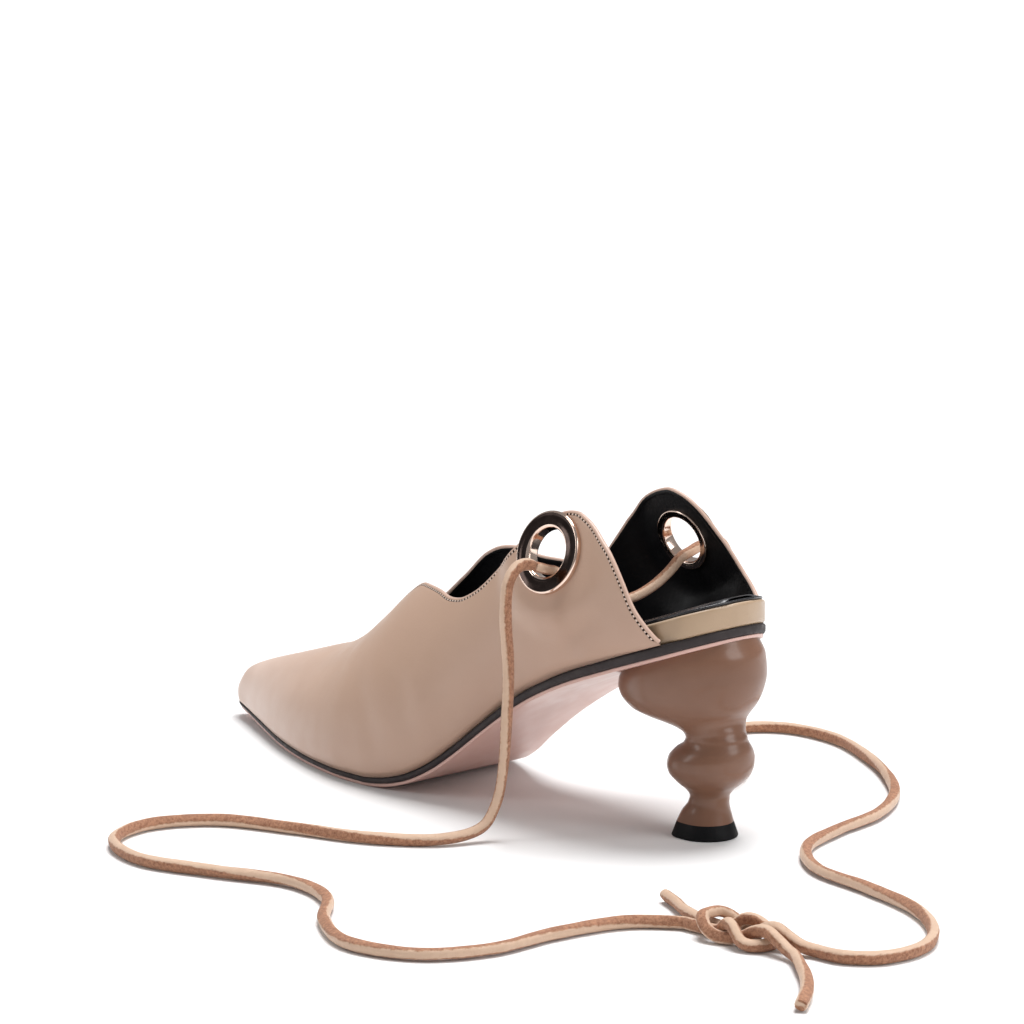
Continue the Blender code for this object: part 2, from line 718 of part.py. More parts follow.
# The two bare ends of the lace, from the knot outwards, in the knot's own frame
LATERAL_TAIL = [
    (-0.0123, 0.0034, 0.0021),
    (-0.0190, 0.0040, 0.0021),
    (-0.0270, 0.0066, 0.0021),
    (-0.0350, 0.0110, 0.0021),
    (-0.0440, 0.0150, 0.0021),
]
MEDIAL_TAIL = [
    (0.0123, -0.0034, 0.0021),
    (0.0200, -0.0042, 0.0021),
    (0.0300, -0.0090, 0.0021),
    (0.0400, -0.0160, 0.0021),
    (0.0500, -0.0260, 0.0021),
    (0.0580, -0.0370, 0.0021),
]


def main():
    clear_scene()
    parts = collection("lace_up_heel")
    cutters = collection("cutters", hidden=True)
    finishes = {
        "upper": material("nude_leather", (0.62, 0.43, 0.33), 0.42),
        "outsole": material("pink_sole", (0.66, 0.43, 0.38), 0.45),
        "band": material("charcoal_edge", (0.035, 0.026, 0.026), 0.55),
        "board": material("golden_seat_leather", (0.50, 0.37, 0.25), 0.38),
        "sock": material("black_lining", (0.010, 0.010, 0.012), 0.45),
        "heel": material("satin_rosewood_lacquer", (0.27, 0.15, 0.11), 0.36),
        "top_piece": material("black_rubber", (0.012, 0.012, 0.012), 0.55),
        "eyelet": material("rose_gold_metal", (0.78, 0.52, 0.40), 0.12, 1.0),
        "lace": material("tan_leather_cord", (0.46, 0.26, 0.16), 0.55),
    }
    make_sole(parts, finishes)
    make_upper(parts, cutters, finishes["upper"])
    make_heel(parts, finishes)
    make_eyelet("eyelet_lateral", -1, parts, finishes["eyelet"])
    make_eyelet("eyelet_medial", 1, parts, finishes["eyelet"])
    make_lace_bar(parts, finishes["lace"])
    lateral = LATERAL_ROUTE + [in_knot(point) for point in LATERAL_LEAD]
    medial = MEDIAL_ROUTE + [in_knot(point) for point in MEDIAL_LEAD]
    cord("lace_lateral", lateral, parts, finishes["lace"])
    cord("lace_medial", medial, parts, finishes["lace"])
    make_knot(parts, cutters, finishes["lace"])


main()
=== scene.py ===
"""Looks of the lace up heel: leather upper with its lining and stitches, sole, turned heel, eyelets and lace.

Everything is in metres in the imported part's frame: toe to -X, inner side of the left foot to +Y, +Z up.
A station is a share of the shoe's length, 0 at the toe tip and 1 at the back of the seat.
"""

from collections import namedtuple
from functools import lru_cache
from math import cos, exp, pi, radians, sin, sqrt, tan

import bmesh
import bpy
import numpy as np
from mathutils import Matrix, Vector


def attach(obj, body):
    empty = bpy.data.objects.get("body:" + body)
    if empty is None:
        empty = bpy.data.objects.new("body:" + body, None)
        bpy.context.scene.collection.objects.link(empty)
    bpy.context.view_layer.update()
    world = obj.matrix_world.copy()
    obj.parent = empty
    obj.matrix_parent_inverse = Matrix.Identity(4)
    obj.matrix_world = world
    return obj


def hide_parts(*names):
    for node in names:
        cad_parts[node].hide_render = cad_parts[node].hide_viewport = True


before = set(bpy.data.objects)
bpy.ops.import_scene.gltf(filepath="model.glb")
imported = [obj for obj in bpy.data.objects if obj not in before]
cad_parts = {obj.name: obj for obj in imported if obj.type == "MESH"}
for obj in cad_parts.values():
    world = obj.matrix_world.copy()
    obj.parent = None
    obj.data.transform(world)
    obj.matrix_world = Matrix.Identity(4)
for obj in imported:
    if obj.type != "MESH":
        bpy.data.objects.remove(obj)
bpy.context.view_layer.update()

# Camera of the photograph
CAMERA_PLACE = (0.9526, -0.8516, 0.3134)
CAMERA_AZIMUTH = 47
CAMERA_ELEVATION = 10
SENSOR = 36
LENS = 133.45

# Sizes shared with the solids
SHOE_LENGTH = 0.2510
TREAD_FROM_TIP = 0.105
BALL_WIDTH = 0.069
SEAT_WIDTH = 0.0530
HEEL_HEIGHT = 0.066
TOE_SPRING = 0.0037
CROWN_HEIGHT = 0.150
TIP_ROUND = 0.0060
NOSE_LEAN = 0.0015
UPPER_WALL = 0.0017
FIT = 0.0003
OUTSOLE_THICKNESS = 0.0010
OUTSOLE_INSET = 0.0010
BAND_THICKNESS = 0.0031
BOARD_THICKNESS = 0.0078
SOCK_THICKNESS = 0.0008
SOCK_INSET = 0.0012
SEAT_EDGE_INSET = 0.0004
BOARD_SIDE_FIT = 0.0006
HEEL_FROM_BACK = 0.0160
HEEL_WAIST_WIDTH = 0.0200
TOP_PIECE_HEIGHT = 0.0048
TOP_PIECE_FLARE = 1.17
EYELET_LATERAL_STATION = 0.771
EYELET_MEDIAL_STATION = 0.787
EYELET_LATERAL_HEIGHT = 0.0898
EYELET_MEDIAL_HEIGHT = 0.0883
EYELET_DIAMETER = 0.0272
EYELET_BORE = 0.0160
EYELET_FLANGE = 0.0016
EYELET_TUBE_WALL = 0.0007
WASHER_DIAMETER = 0.0215
WASHER_THICKNESS = 0.0009
FLAP_HALF_WIDTH = 0.0292
FLAP_LEAN = 0.31
FLAT_AROUND_EYELET = 0.0165
FLAT_FADES_OVER = 0.0120
LACE_DIAMETER = 0.0040
KNOT_PLACE = (0.2220, -0.0800)
BAR_SAG = 0.0120
LACE_IN_BORE_FIT = 0.0006
THROAT_STATION = 0.263
FLAP_END_STATION = 0.946
BOARD_START = 0.030
SOCK_START = 0.045
BOARD_STEP = 0.024

Sole = namedtuple("Sole", "station lateral medial rise spring band board")
SOLE = tuple(Sole(*row) for row in (
    (0.000, 0.050, 0.050, 0.000, 1.00, 0.36, 0.30),
    (0.030, 0.092, 0.092, 0.000, 0.80, 0.46, 0.30),
    (0.115, 0.228, 0.250, 0.000, 0.42, 0.60, 0.30),
    (0.210, 0.380, 0.385, 0.000, 0.14, 0.62, 0.30),
    (0.290, 0.482, 0.445, 0.000, 0.02, 0.58, 0.30),
    (0.350, 0.538, 0.462, 0.000, 0.00, 0.55, 0.30),
    (0.400, 0.568, 0.440, 0.000, 0.00, 0.55, 0.30),
    (0.445, 0.572, 0.390, 0.000, 0.00, 0.56, 0.32),
    (0.480, 0.560, 0.340, 0.012, 0.00, 0.59, 0.34),
    (0.517, 0.540, 0.290, 0.047, 0.00, 0.63, 0.37),
    (0.557, 0.508, 0.245, 0.122, 0.00, 0.68, 0.42),
    (0.596, 0.465, 0.220, 0.234, 0.00, 0.74, 0.48),
    (0.636, 0.430, 0.240, 0.362, 0.00, 0.79, 0.56),
    (0.676, 0.403, 0.290, 0.480, 0.00, 0.84, 0.65),
    (0.716, 0.388, 0.333, 0.578, 0.00, 0.88, 0.75),
    (0.775, 0.380, 0.370, 0.686, 0.00, 0.94, 0.88),
    (0.855, 0.384, 0.384, 0.800, 0.00, 1.00, 1.00),
    (0.934, 0.384, 0.384, 0.906, 0.00, 1.00, 1.00),
    (1.000, 0.384, 0.384, 1.000, 0.00, 1.00, 1.00),
))
Last = namedtuple("Last", "station crown roundness belly lean")
LAST = tuple(Last(*row) for row in (
    (0.000, 0.088, 2.0, 0.004, 0.000),
    (0.012, 0.110, 2.0, 0.006, 0.000),
    (0.030, 0.129, 2.0, 0.008, 0.000),
    (0.060, 0.149, 2.05, 0.010, 0.000),
    (0.095, 0.168, 2.1, 0.012, 0.000),
    (0.132, 0.186, 2.1, 0.014, 0.000),
    (0.220, 0.230, 2.1, 0.016, 0.003),
    (0.263, 0.251, 2.1, 0.018, 0.006),
    (0.330, 0.306, 2.1, 0.024, 0.012),
    (0.398, 0.392, 2.1, 0.030, 0.018),
    (0.440, 0.456, 2.1, 0.035, 0.020),
    (0.480, 0.513, 2.1, 0.042, 0.022),
    (0.560, 0.600, 2.1, 0.062, 0.020),
    (0.640, 0.700, 2.15, 0.082, 0.012),
    (0.720, 0.800, 2.2, 0.098, 0.004),
    (0.800, 0.870, 2.2, 0.100, 0.000),
    (0.880, 0.900, 2.2, 0.080, 0.000),
    (1.000, 0.900, 2.2, 0.040, 0.000),
))
Topline = namedtuple("Topline", "station lateral medial")
TOPLINE = tuple(Topline(*row) for row in (
    (0.263, 1.000, 1.000),
    (0.300, 0.900, 0.940),
    (0.340, 0.830, 0.900),
    (0.380, 0.776, 0.870),
    (0.420, 0.738, 0.843),
    (0.455, 0.712, 0.825),
    (0.483, 0.680, 0.825),
    (0.507, 0.628, 0.806),
    (0.543, 0.550, 0.718),
    (0.579, 0.462, 0.580),
    (0.605, 0.419, 0.505),
    (0.635, 0.399, 0.430),
    (0.666, 0.409, 0.388),
    (0.700, 0.418, 0.470),
    (0.730, 0.442, 0.508),
    (0.772, 0.455, 0.486),
    (0.800, 0.437, 0.440),
    (0.821, 0.400, 0.388),
    (0.856, 0.322, 0.265),
    (0.879, 0.273, 0.172),
    (0.905, 0.188, 0.104),
    (0.924, 0.101, 0.060),
    (0.946, 0.012, 0.012),
))
Ring = namedtuple("Ring", "level centre front back side slope square")
HEEL = tuple(Ring(*row) for row in (
    (0.000, 0.04, 0.42, 0.44, 0.435, 0.00, 0.50),
    (0.055, 0.05, 0.375, 0.39, 0.388, 0.00, 0.60),
    (0.118, 0.10, 0.32, 0.325, 0.323, 0.00, 0.80),
    (0.149, 0.11, 0.32, 0.32, 0.320, 0.00, 1.00),
    (0.187, 0.11, 0.38, 0.38, 0.380, 0.00, 1.00),
    (0.236, 0.11, 0.54, 0.54, 0.538, 0.00, 1.00),
    (0.293, 0.11, 0.67, 0.67, 0.670, 0.00, 1.00),
    (0.337, 0.12, 0.70, 0.70, 0.702, 0.00, 1.00),
    (0.375, 0.14, 0.69, 0.69, 0.695, 0.00, 1.00),
    (0.419, 0.19, 0.63, 0.63, 0.630, 0.00, 1.00),
    (0.457, 0.25, 0.53, 0.53, 0.530, 0.00, 1.00),
    (0.488, 0.25, 0.495, 0.495, 0.495, 0.00, 1.00),
    (0.518, 0.21, 0.50, 0.50, 0.500, 0.00, 1.00),
    (0.562, 0.10, 0.58, 0.57, 0.570, 0.02, 1.00),
    (0.606, -0.05, 0.73, 0.69, 0.700, 0.05, 1.00),
    (0.646, -0.18, 0.90, 0.85, 0.840, 0.08, 1.00),
    (0.693, -0.27, 1.07, 1.03, 0.970, 0.12, 1.00),
    (0.779, -0.30, 1.22, 1.20, 1.080, 0.24, 1.00),
    (0.855, -0.30, 1.27, 1.27, 1.100, 0.44, 1.00),
    (0.931, -0.30, 1.27, 1.24, 1.080, 0.72, 1.00),
    (1.000, -0.30, 1.25, 1.10, 1.020, 1.00, 1.00),
))

# Fineness of the dressed pieces
UPPER_STATIONS = 190
UPPER_ROWS = 34
ROLL_STEPS = 8
SOLE_STATIONS = 170
HEEL_SIDES = 96
HEEL_LEVELS = 110
TURNED_STEPS = 96
LACE_SIDES = 20

# Topline: the leather is skived to nothing at the throat's point, and a row of stitches runs inside its edge
SKIVE_OVER = 0.0045
# Soft creases in the upper, given as seen from the side: two ends, sideways bow, width and depth in metres
Crease = namedtuple("Crease", "side x0 z0 x1 z1 bow width depth")
CREASES = tuple(Crease(*row) for row in (
    (-1, 0.0170, 0.0080, 0.0010, 0.0380, 0.0020, 0.0042, 0.00038),
    (-1, 0.0330, 0.0150, 0.0220, 0.0440, 0.0015, 0.0036, 0.00030),
    (-1, 0.0560, 0.0300, 0.0780, 0.0600, 0.0030, 0.0050, 0.00045),
    (-1, 0.0960, 0.0560, 0.1130, 0.0740, -0.0020, 0.0040, 0.00035),
    (1, 0.0140, 0.0070, 0.0020, 0.0360, 0.0020, 0.0040, 0.00036),
    (1, 0.0300, 0.0140, 0.0260, 0.0460, -0.0015, 0.0036, 0.00045),
    (1, 0.0520, 0.0340, 0.0760, 0.0580, 0.0025, 0.0048, 0.00044),
    (1, 0.0980, 0.0580, 0.1120, 0.0720, -0.0018, 0.0040, 0.00045),
))
# The ridge beside a crease, as shares of its depth and width, and where along it the crease fades
CREASE_RIDGE = 0.45
CREASE_RIDGE_AWAY = 1.9
CREASE_RIDGE_WIDTH = 1.2
CREASE_STEADY = 0.20
CREASE_FADES = 0.40
EDGE_INSETS = (0.0042, 0.0034, 0.0027, 0.0021, 0.0017, 0.0014, 0.0011, 0.0008, 0.0004, 0.0)
STITCH_INSET = 0.0014
STITCH_PITCH = 0.00150
STITCH_LENGTH = 0.00086
STITCH_WIDTH = 0.00048
STITCH_CHANNEL_DEPTH = 0.00016
HOLE_LENGTH = 0.00074
HOLE_WIDTH = 0.00105
HOLE_LIFT = 0.00007
STITCH_CHANNEL_WIDTH = 0.00045
STITCHES_FROM_THROAT = 0.010
STITCHES_FROM_END = 0.004
STITCH_SAMPLES = 1400
STITCH_SIDES = 8
STITCH_LOWNESS = 0.8
STITCH_LIFT = 0.00006
STITCH_DIP = 0.00010
STITCH_RINGS = ((-1.0, 0.35), (-0.72, 0.85), (0.0, 1.0), (0.72, 0.85), (1.0, 0.35))
HOLE_SIDES = 10

# Small steps and limits for measuring the upper's surface
STATION_STEP = 0.0006
SHARE_STEP = 0.002
FIRST_STATION = 0.00002
TIP_STATION = 0.0001
CROWN_SHARE = 0.998
EDGE_STEP = 0.0008
PROBE = 0.004
LEAST_RATE = 0.004
LOWEST_INSET_SHARE = 0.35
CROWN_PROBE = 0.01
LEAST_CROWN_RATE = 0.002
CROWN_ROWS_FROM = 0.4
CROWN_ROWS_APART = 0.01
WALL_OF_HEIGHT = 0.6
EDGE_ROWS_OF_HEIGHT = 0.5
CLEAR_OF_THROAT = 0.002
HOLE_CLEARANCE = 0.0008
UPPER_WELD = 4e-6


@lru_cache(None)
def spline(rows, column):
    """Knots, values and slopes of a table's column, for a smooth curve that never overshoots its rows."""
    xs = np.array([row[0] for row in rows])
    ys = np.array([getattr(row, column) for row in rows])
    step = np.diff(xs)
    slope = np.diff(ys) / step
    tangent = np.zeros_like(ys)
    for i in range(1, len(ys) - 1):
        if slope[i - 1] * slope[i] > 0:
            tangent[i] = 2 * slope[i - 1] * slope[i] / (slope[i - 1] + slope[i])
    tangent[0] = slope[0]
    tangent[-1] = slope[-1]
    return xs.tolist(), ys.tolist(), step.tolist(), tangent.tolist()


@lru_cache(None)
def at(rows, column, station):
    xs, ys, step, tangent = spline(rows, column)
    i = int(min(max(np.searchsorted(xs, station, "right") - 1, 0), len(step) - 1))
    t = min(max((station - xs[i]) / step[i], 0.0), 1.0)
    return (
        (1 + 2 * t) * (1 - t) ** 2 * ys[i]
        + t * (1 - t) ** 2 * step[i] * tangent[i]
        + t**2 * (3 - 2 * t) * ys[i + 1]
        + t**2 * (t - 1) * step[i] * tangent[i + 1]
    )


def x_at(station):
    return station * SHOE_LENGTH - TREAD_FROM_TIP


def station_at(x):
    return (x + TREAD_FROM_TIP) / SHOE_LENGTH


def rounded_end(distance, radius):
    if distance >= radius:
        return 1.0
    return sqrt(max(0.0, 1 - (1 - max(distance, 0.0) / radius) ** 2))


def half_width(station, side):
    share = at(SOLE, "lateral" if side < 0 else "medial", station)
    tip = rounded_end(station * SHOE_LENGTH, TIP_ROUND)
    back = rounded_end((1 - station) * SHOE_LENGTH, SEAT_WIDTH / 2)
    return share * BALL_WIDTH * tip * back


def under_height(station):
    return at(SOLE, "rise", station) * HEEL_HEIGHT + at(SOLE, "spring", station) * TOE_SPRING


def band_bottom(station):
    return under_height(station) + OUTSOLE_THICKNESS + FIT


def band_top(station):
    return band_bottom(station) + at(SOLE, "band", station) * BAND_THICKNESS


def board_bottom(station):
    return band_top(station) + FIT


def board_top(station):
    return board_bottom(station) + at(SOLE, "board", station) * BOARD_THICKNESS


def faded(distance, flat, fade):
    """1 within the flat radius, falling smoothly to 0 over the fade."""
    t = min(max((distance - flat) / fade, 0.0), 1.0)
    return 1 - t * t * (3 - 2 * t)


def eyelet_x(side):
    return x_at(EYELET_LATERAL_STATION if side < 0 else EYELET_MEDIAL_STATION)


def eyelet_height(side):
    return EYELET_LATERAL_HEIGHT if side < 0 else EYELET_MEDIAL_HEIGHT


def upper_point(station, share, side):
    """Outer face of the upper, share 0 at the feather edge and 1 on the crown line."""
    power = 2 / at(LAST, "roundness", station)
    up = sin(share * pi / 2) ** power
    out = max(0.0, cos(share * pi / 2)) ** power
    foot = board_bottom(station)
    crown = at(LAST, "crown", station) * CROWN_HEIGHT
    lean = at(LAST, "lean", station) * BALL_WIDTH
    belly = at(LAST, "belly", station) * BALL_WIDTH * sin(pi * up**0.6)
    tip = rounded_end(station * SHOE_LENGTH, TIP_ROUND)
    y = lean * (1 - out) + side * (half_width(station, side) * out + belly * tip)
    z = foot + (crown - foot) * up
    nose = faded(station * SHOE_LENGTH, 0.0, TIP_ROUND)
    x = x_at(station) + NOSE_LEAN * nose * (up - sin(pi * up))
    over = z - eyelet_height(side)
    apart = sqrt((x - eyelet_x(side)) ** 2 + over**2)
    flat = faded(apart, FLAT_AROUND_EYELET, FLAT_FADES_OVER)
    plane = side * (FLAP_HALF_WIDTH - over * tan(FLAP_LEAN))
    return Vector((x, y + (plane - y) * flat, z))


def topline_share(station, side):
    if station <= THROAT_STATION:
        return 1.0
    return at(TOPLINE, "lateral" if side < 0 else "medial", station)


def eased(count, start, end):
    return [start + (end - start) * (1 - cos(pi * i / count)) / 2 for i in range(count + 1)]


def upper_normal(station, share, side):
    """Outward normal of the upper."""
    before, after = max(station - STATION_STEP, FIRST_STATION), station + STATION_STEP
    low, high = max(share - SHARE_STEP, 0.0), min(share + SHARE_STEP, 1.0)
    along = upper_point(after, share, side) - upper_point(before, share, side)
    up = upper_point(station, high, side) - upper_point(station, low, side)
    normal = along.cross(up) * -side
    if station < TIP_STATION or (share > CROWN_SHARE and station <= THROAT_STATION):
        normal.y = 0.0
    return normal.normalized()


APEX = upper_point(THROAT_STATION, 1.0, 1)


def edge_frame(station, side):
    """Point on the topline, the edge's direction, the outward normal and the way up across the edge."""
    low = max(station - EDGE_STEP, THROAT_STATION)
    high = min(station + EDGE_STEP, FLAP_END_STATION)
    place = upper_point(station, topline_share(station, side), side)
    ahead = upper_point(high, topline_share(high, side), side)
    behind = upper_point(low, topline_share(low, side), side)
    along = (ahead - behind).normalized()
    normal = upper_normal(station, topline_share(station, side), side)
    across = along.cross(normal) * side
    return place, along, normal, across.normalized()


def share_inside(station, side, inset):
    """Share of the surface point that lies the inset below the topline, square to its edge."""
    top = topline_share(station, side)
    place, _, _, across = edge_frame(station, side)
    share = top
    for _ in range(3):
        here = upper_point(station, share, side)
        near = upper_point(station, max(share - PROBE, 0.0), side)
        rate = (here - near).dot(across) / PROBE
        if rate < LEAST_RATE:
            break
        share -= (inset - (place - here).dot(across)) / rate
        share = min(max(share, LOWEST_INSET_SHARE * top), top)
    return share


def new_object(name, mesh, finishes, sharp=None):
    """An object from the mesh: smooth, apart from edges that turn by more than the sharp angle in radians."""
    data = bpy.data.meshes.new(name)
    mesh.to_mesh(data)
    mesh.free()
    for finish in finishes:
        data.materials.append(finish)
    data.shade_smooth()
    if sharp:
        data.set_sharp_from_angle(angle=sharp)
    obj = bpy.data.objects.new(name, data)
    bpy.context.scene.collection.objects.link(obj)
    return obj


def joined(mesh, rings, index=0):
    """Faces from each closed ring of vertices to the next."""
    for low, high in zip(rings, rings[1:]):
        for i in range(len(low)):
            j = (i + 1) % len(low)
            mesh.faces.new((low[i], low[j], high[j], high[i])).material_index = index


def eyelet_centre(side):
    return Vector((eyelet_x(side), side * FLAP_HALF_WIDTH, eyelet_height(side)))


def eyelet_axis(side):
    return Vector((0, side * cos(FLAP_LEAN), sin(FLAP_LEAN)))


def add_piece(obj, slot, *nodes):
    """The piece rides on the shoe and stands for the CAD nodes, which it hides; the slot is not used."""
    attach(obj, "root")
    if nodes:
        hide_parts(*nodes)
    return obj


# Camera

def make_camera():
    azimuth, elevation = radians(CAMERA_AZIMUTH), radians(CAMERA_ELEVATION)
    back = Vector((sin(azimuth) * cos(elevation), -cos(azimuth) * cos(elevation), sin(elevation)))
    right = Vector((cos(azimuth), sin(azimuth), 0))
    data = bpy.data.cameras.new("camera")
    data.sensor_width = SENSOR
    data.lens = LENS
    data.clip_end = 10
    camera = bpy.data.objects.new("camera", data)
    turn = Matrix((right, back.cross(right), back)).transposed().to_4x4()
    camera.matrix_world = Matrix.Translation(CAMERA_PLACE) @ turn
    bpy.context.scene.collection.objects.link(camera)
    bpy.context.scene.camera = camera


make_camera()


# Materials

class Look:
    """A node material whose colour, roughness and relief are built up step by step."""

    def __init__(self, name, colour, roughness, **sockets):
        self.material = bpy.data.materials.new(name)
        self.material.use_nodes = True
        self.tree = self.material.node_tree
        self.shader = self.tree.nodes["Principled BSDF"]
        self.shader.inputs["Base Color"].default_value = (*colour, 1)
        self.shader.inputs["Roughness"].default_value = roughness
        for socket, value in sockets.items():
            self.shader.inputs[socket.replace("_", " ")].default_value = value
        self.place = self.tree.nodes.new("ShaderNodeTexCoord").outputs["Object"]
        self.relief = None

    def node(self, kind, links=(), **settings):
        made = self.tree.nodes.new(kind)
        for name, value in settings.items():
            setattr(made, name, value)
        for socket, value in links:
            if isinstance(value, bpy.types.NodeSocket):
                self.tree.links.new(value, made.inputs[socket])
            else:
                made.inputs[socket].default_value = value
        return made

    def stretched(self, scale):
        """Object coordinates with each axis scaled, for textures that run one way."""
        return self.node("ShaderNodeMapping", [("Vector", self.place), ("Scale", scale)]).outputs[0]

    def noise(self, scale, detail=3.0, roughness=0.5, place=None):
        links = [("Vector", place or self.place), ("Scale", scale), ("Detail", detail)]
        return self.node("ShaderNodeTexNoise", links + [("Roughness", roughness)]).outputs["Fac"]

    def cells(self, scale, feature="F1", place=None):
        links = [("Vector", place or self.place), ("Scale", scale)]
        return self.node("ShaderNodeTexVoronoi", links, feature=feature).outputs["Distance"]

    def patches(self, scale, detail, low=0.0, high=1.0):
        """Soft patches of noise that reach from one value to another."""
        return self.span(self.noise(scale, detail), 0.3, 0.7, low, high)

    def attribute(self, name):
        return self.node("ShaderNodeAttribute", attribute_name=name).outputs["Fac"]

    def along(self, axis):
        return self.node("ShaderNodeSeparateXYZ", [("Vector", self.place)]).outputs[axis]

    def span(self, value, low, high, to_low=0.0, to_high=1.0):
        links = [("Value", value), ("From Min", low), ("From Max", high)]
        links += [("To Min", to_low), ("To Max", to_high)]
        return self.node("ShaderNodeMapRange", links, interpolation_type="SMOOTHSTEP").outputs[0]

    def math(self, operation, a, b=0.0):
        return self.node("ShaderNodeMath", [(0, a), (1, b)], operation=operation).outputs[0]

    def mix(self, factor, a, b):
        a = (*a, 1) if isinstance(a, tuple) else a
        b = (*b, 1) if isinstance(b, tuple) else b
        links = [("Factor", factor), (6, a), (7, b)]
        return self.node("ShaderNodeMix", links, data_type="RGBA").outputs[2]

    def colour(self, value):
        self.tree.links.new(value, self.shader.inputs["Base Color"])

    def roughness(self, value):
        self.tree.links.new(value, self.shader.inputs["Roughness"])

    def bump(self, height, distance, strength=1.0):
        links = [("Height", height), ("Distance", distance), ("Strength", strength)]
        if self.relief:
            links.append(("Normal", self.relief))
        self.relief = self.node("ShaderNodeBump", links).outputs[0]
        self.tree.links.new(self.relief, self.shader.inputs["Normal"])


def nude_leather():
    """Smooth calf: pinker toward the toe and lighter there as a painted highlight, painted shade toward the
    feather edge, fine pores and crazing, a painted highlight on the turned edge at the topline and painted
    shade in the stitch channel.
    """
    look = Look("nude_leather", (0.60, 0.41, 0.315), 0.42,
                Coat_Weight=0.14, Coat_Roughness=0.30, Sheen_Weight=0.04)
    # Pinker toward the toe, and lighter there as a painted highlight where the light falls on the toe
    toe = look.span(look.along("X"), -0.105, 0.000)
    # Painted shade: the leather is darker toward the feather edge, low on the sides
    low = look.span(look.attribute("share"), 0.0, 0.42, 0.62, 0.0)
    body = look.mix(low, (0.530, 0.348, 0.250), (0.385, 0.242, 0.180))
    body = look.mix(toe, (0.735, 0.560, 0.475), body)
    cloud = look.span(look.noise(38, 2), 0.35, 0.65, 0.0, 0.30)
    body = look.mix(cloud, body, (0.515, 0.340, 0.252))
    pores = look.cells(1500)
    body = look.mix(look.span(pores, 0.0, 0.35, 0.10, 0.0), body, (0.36, 0.23, 0.17))
    inset = look.attribute("inset")
    # Painted highlight on the rolled topline edge, where the roll catches the light
    body = look.mix(look.span(inset, 0.0002, 0.0008, 0.70, 0.0), body, (0.60, 0.410, 0.335))
    # Painted shade in the stitch channel
    channel = look.math("ABSOLUTE", look.math("SUBTRACT", inset, STITCH_INSET))
    body = look.mix(look.span(channel, 0.0001, 0.0005, 0.50, 0.0), body, (0.27, 0.165, 0.120))
    look.colour(body)
    look.roughness(look.patches(120, 4, 0.34, 0.47))
    look.bump(look.noise(55, 2, place=look.stretched((0.5, 1.0, 1.4))), 0.0006, 0.10)
    look.bump(look.noise(950, 4, 0.6), 0.00006, 0.55)
    look.bump(pores, 0.00004, 0.45)
    return look.material


def black_lining():
    look = Look("black_lining", (0.008, 0.008, 0.010), 0.5, Specular_IOR_Level=0.22)
    look.colour(look.mix(look.noise(220, 4), (0.0045, 0.0045, 0.0055), (0.0105, 0.0100, 0.0115)))
    look.roughness(look.patches(90, 3, 0.36, 0.55))
    look.bump(look.noise(70, 2), 0.0008, 0.20)
    look.bump(look.cells(900), 0.00008, 0.6)
    return look.material


def sock_leather():
    look = Look("sock_leather", (0.012, 0.012, 0.015), 0.28, Specular_IOR_Level=0.50)
    look.colour(look.mix(look.noise(260, 4), (0.008, 0.008, 0.011), (0.018, 0.017, 0.021)))
    look.roughness(look.patches(80, 3, 0.20, 0.38))
    look.bump(look.noise(60, 2), 0.0020, 0.45)
    look.bump(look.cells(1000), 0.00006, 0.6)
    return look.material


def seat_leather():
    """The wrap of the seat: beige with a golden cast, with a painted highlight on its top edge."""
    look = Look("golden_seat_leather", (0.46, 0.33, 0.225), 0.34, Coat_Weight=0.22, Coat_Roughness=0.25)
    body = look.mix(look.patches(45, 3), (0.375, 0.255, 0.158), (0.430, 0.298, 0.190))
    # Painted highlight on the top edge of the wrap, where it faces up
    edge = look.attribute("edge")
    body = look.mix(look.span(edge, 0.45, 1.0, 0.0, 0.6), body, (0.70, 0.55, 0.42))
    look.colour(body)
    look.roughness(look.patches(150, 4, 0.28, 0.42))
    look.bump(look.noise(50, 2, place=look.stretched((0.6, 0.6, 1.6))), 0.0006, 0.22)
    look.bump(look.cells(1500), 0.00004, 0.5)
    return look.material


def charcoal_edge():
    look = Look("charcoal_edge", (0.030, 0.022, 0.023), 0.55, Specular_IOR_Level=0.28)
    look.colour(look.mix(look.noise(160, 5), (0.022, 0.016, 0.017), (0.040, 0.031, 0.031)))
    look.roughness(look.patches(400, 3, 0.42, 0.62))
    look.bump(look.noise(900, 5, 0.7), 0.00005, 0.6)
    look.bump(look.noise(500, 2, place=look.stretched((0.12, 0.12, 3.0))), 0.00006, 0.35)
    return look.material


def pink_sole():
    """Varnished leather sole: even pink nude, faintly scuffed where it treads."""
    look = Look("pink_sole", (0.62, 0.385, 0.33), 0.38, Coat_Weight=0.20, Coat_Roughness=0.22)
    body = look.mix(look.patches(30, 3), (0.610, 0.375, 0.320), (0.655, 0.415, 0.360))
    tread = look.span(look.along("Z"), 0.0002, 0.0035, 1.0, 0.0)
    scuff = look.span(look.noise(240, 6, 0.7, look.stretched((0.35, 1.4, 1.0))), 0.52, 0.72)
    worn = look.math("MULTIPLY", scuff, look.math("MULTIPLY", tread, 0.35))
    body = look.mix(worn, body, (0.42, 0.29, 0.25))
    look.colour(body)
    look.roughness(look.patches(140, 4, 0.30, 0.45))
    look.bump(look.noise(600, 4), 0.00005, 0.5)
    return look.material


def heel_lacquer():
    """Rosy brown lacquer over the turned core, with the faint rings of its turning."""
    look = Look("satin_rosewood_lacquer", (0.205, 0.102, 0.064), 0.36, Specular_IOR_Level=0.28,
                Coat_Weight=0.26, Coat_Roughness=0.17)
    body = look.mix(look.patches(35, 3), (0.186, 0.090, 0.055), (0.226, 0.114, 0.073))
    look.colour(body)
    look.roughness(look.patches(110, 4, 0.30, 0.42))
    look.bump(look.noise(300, 2, place=look.stretched((0.03, 0.03, 2.2))), 0.00006, 0.30)
    look.bump(look.noise(800, 4), 0.00003, 0.5)
    return look.material


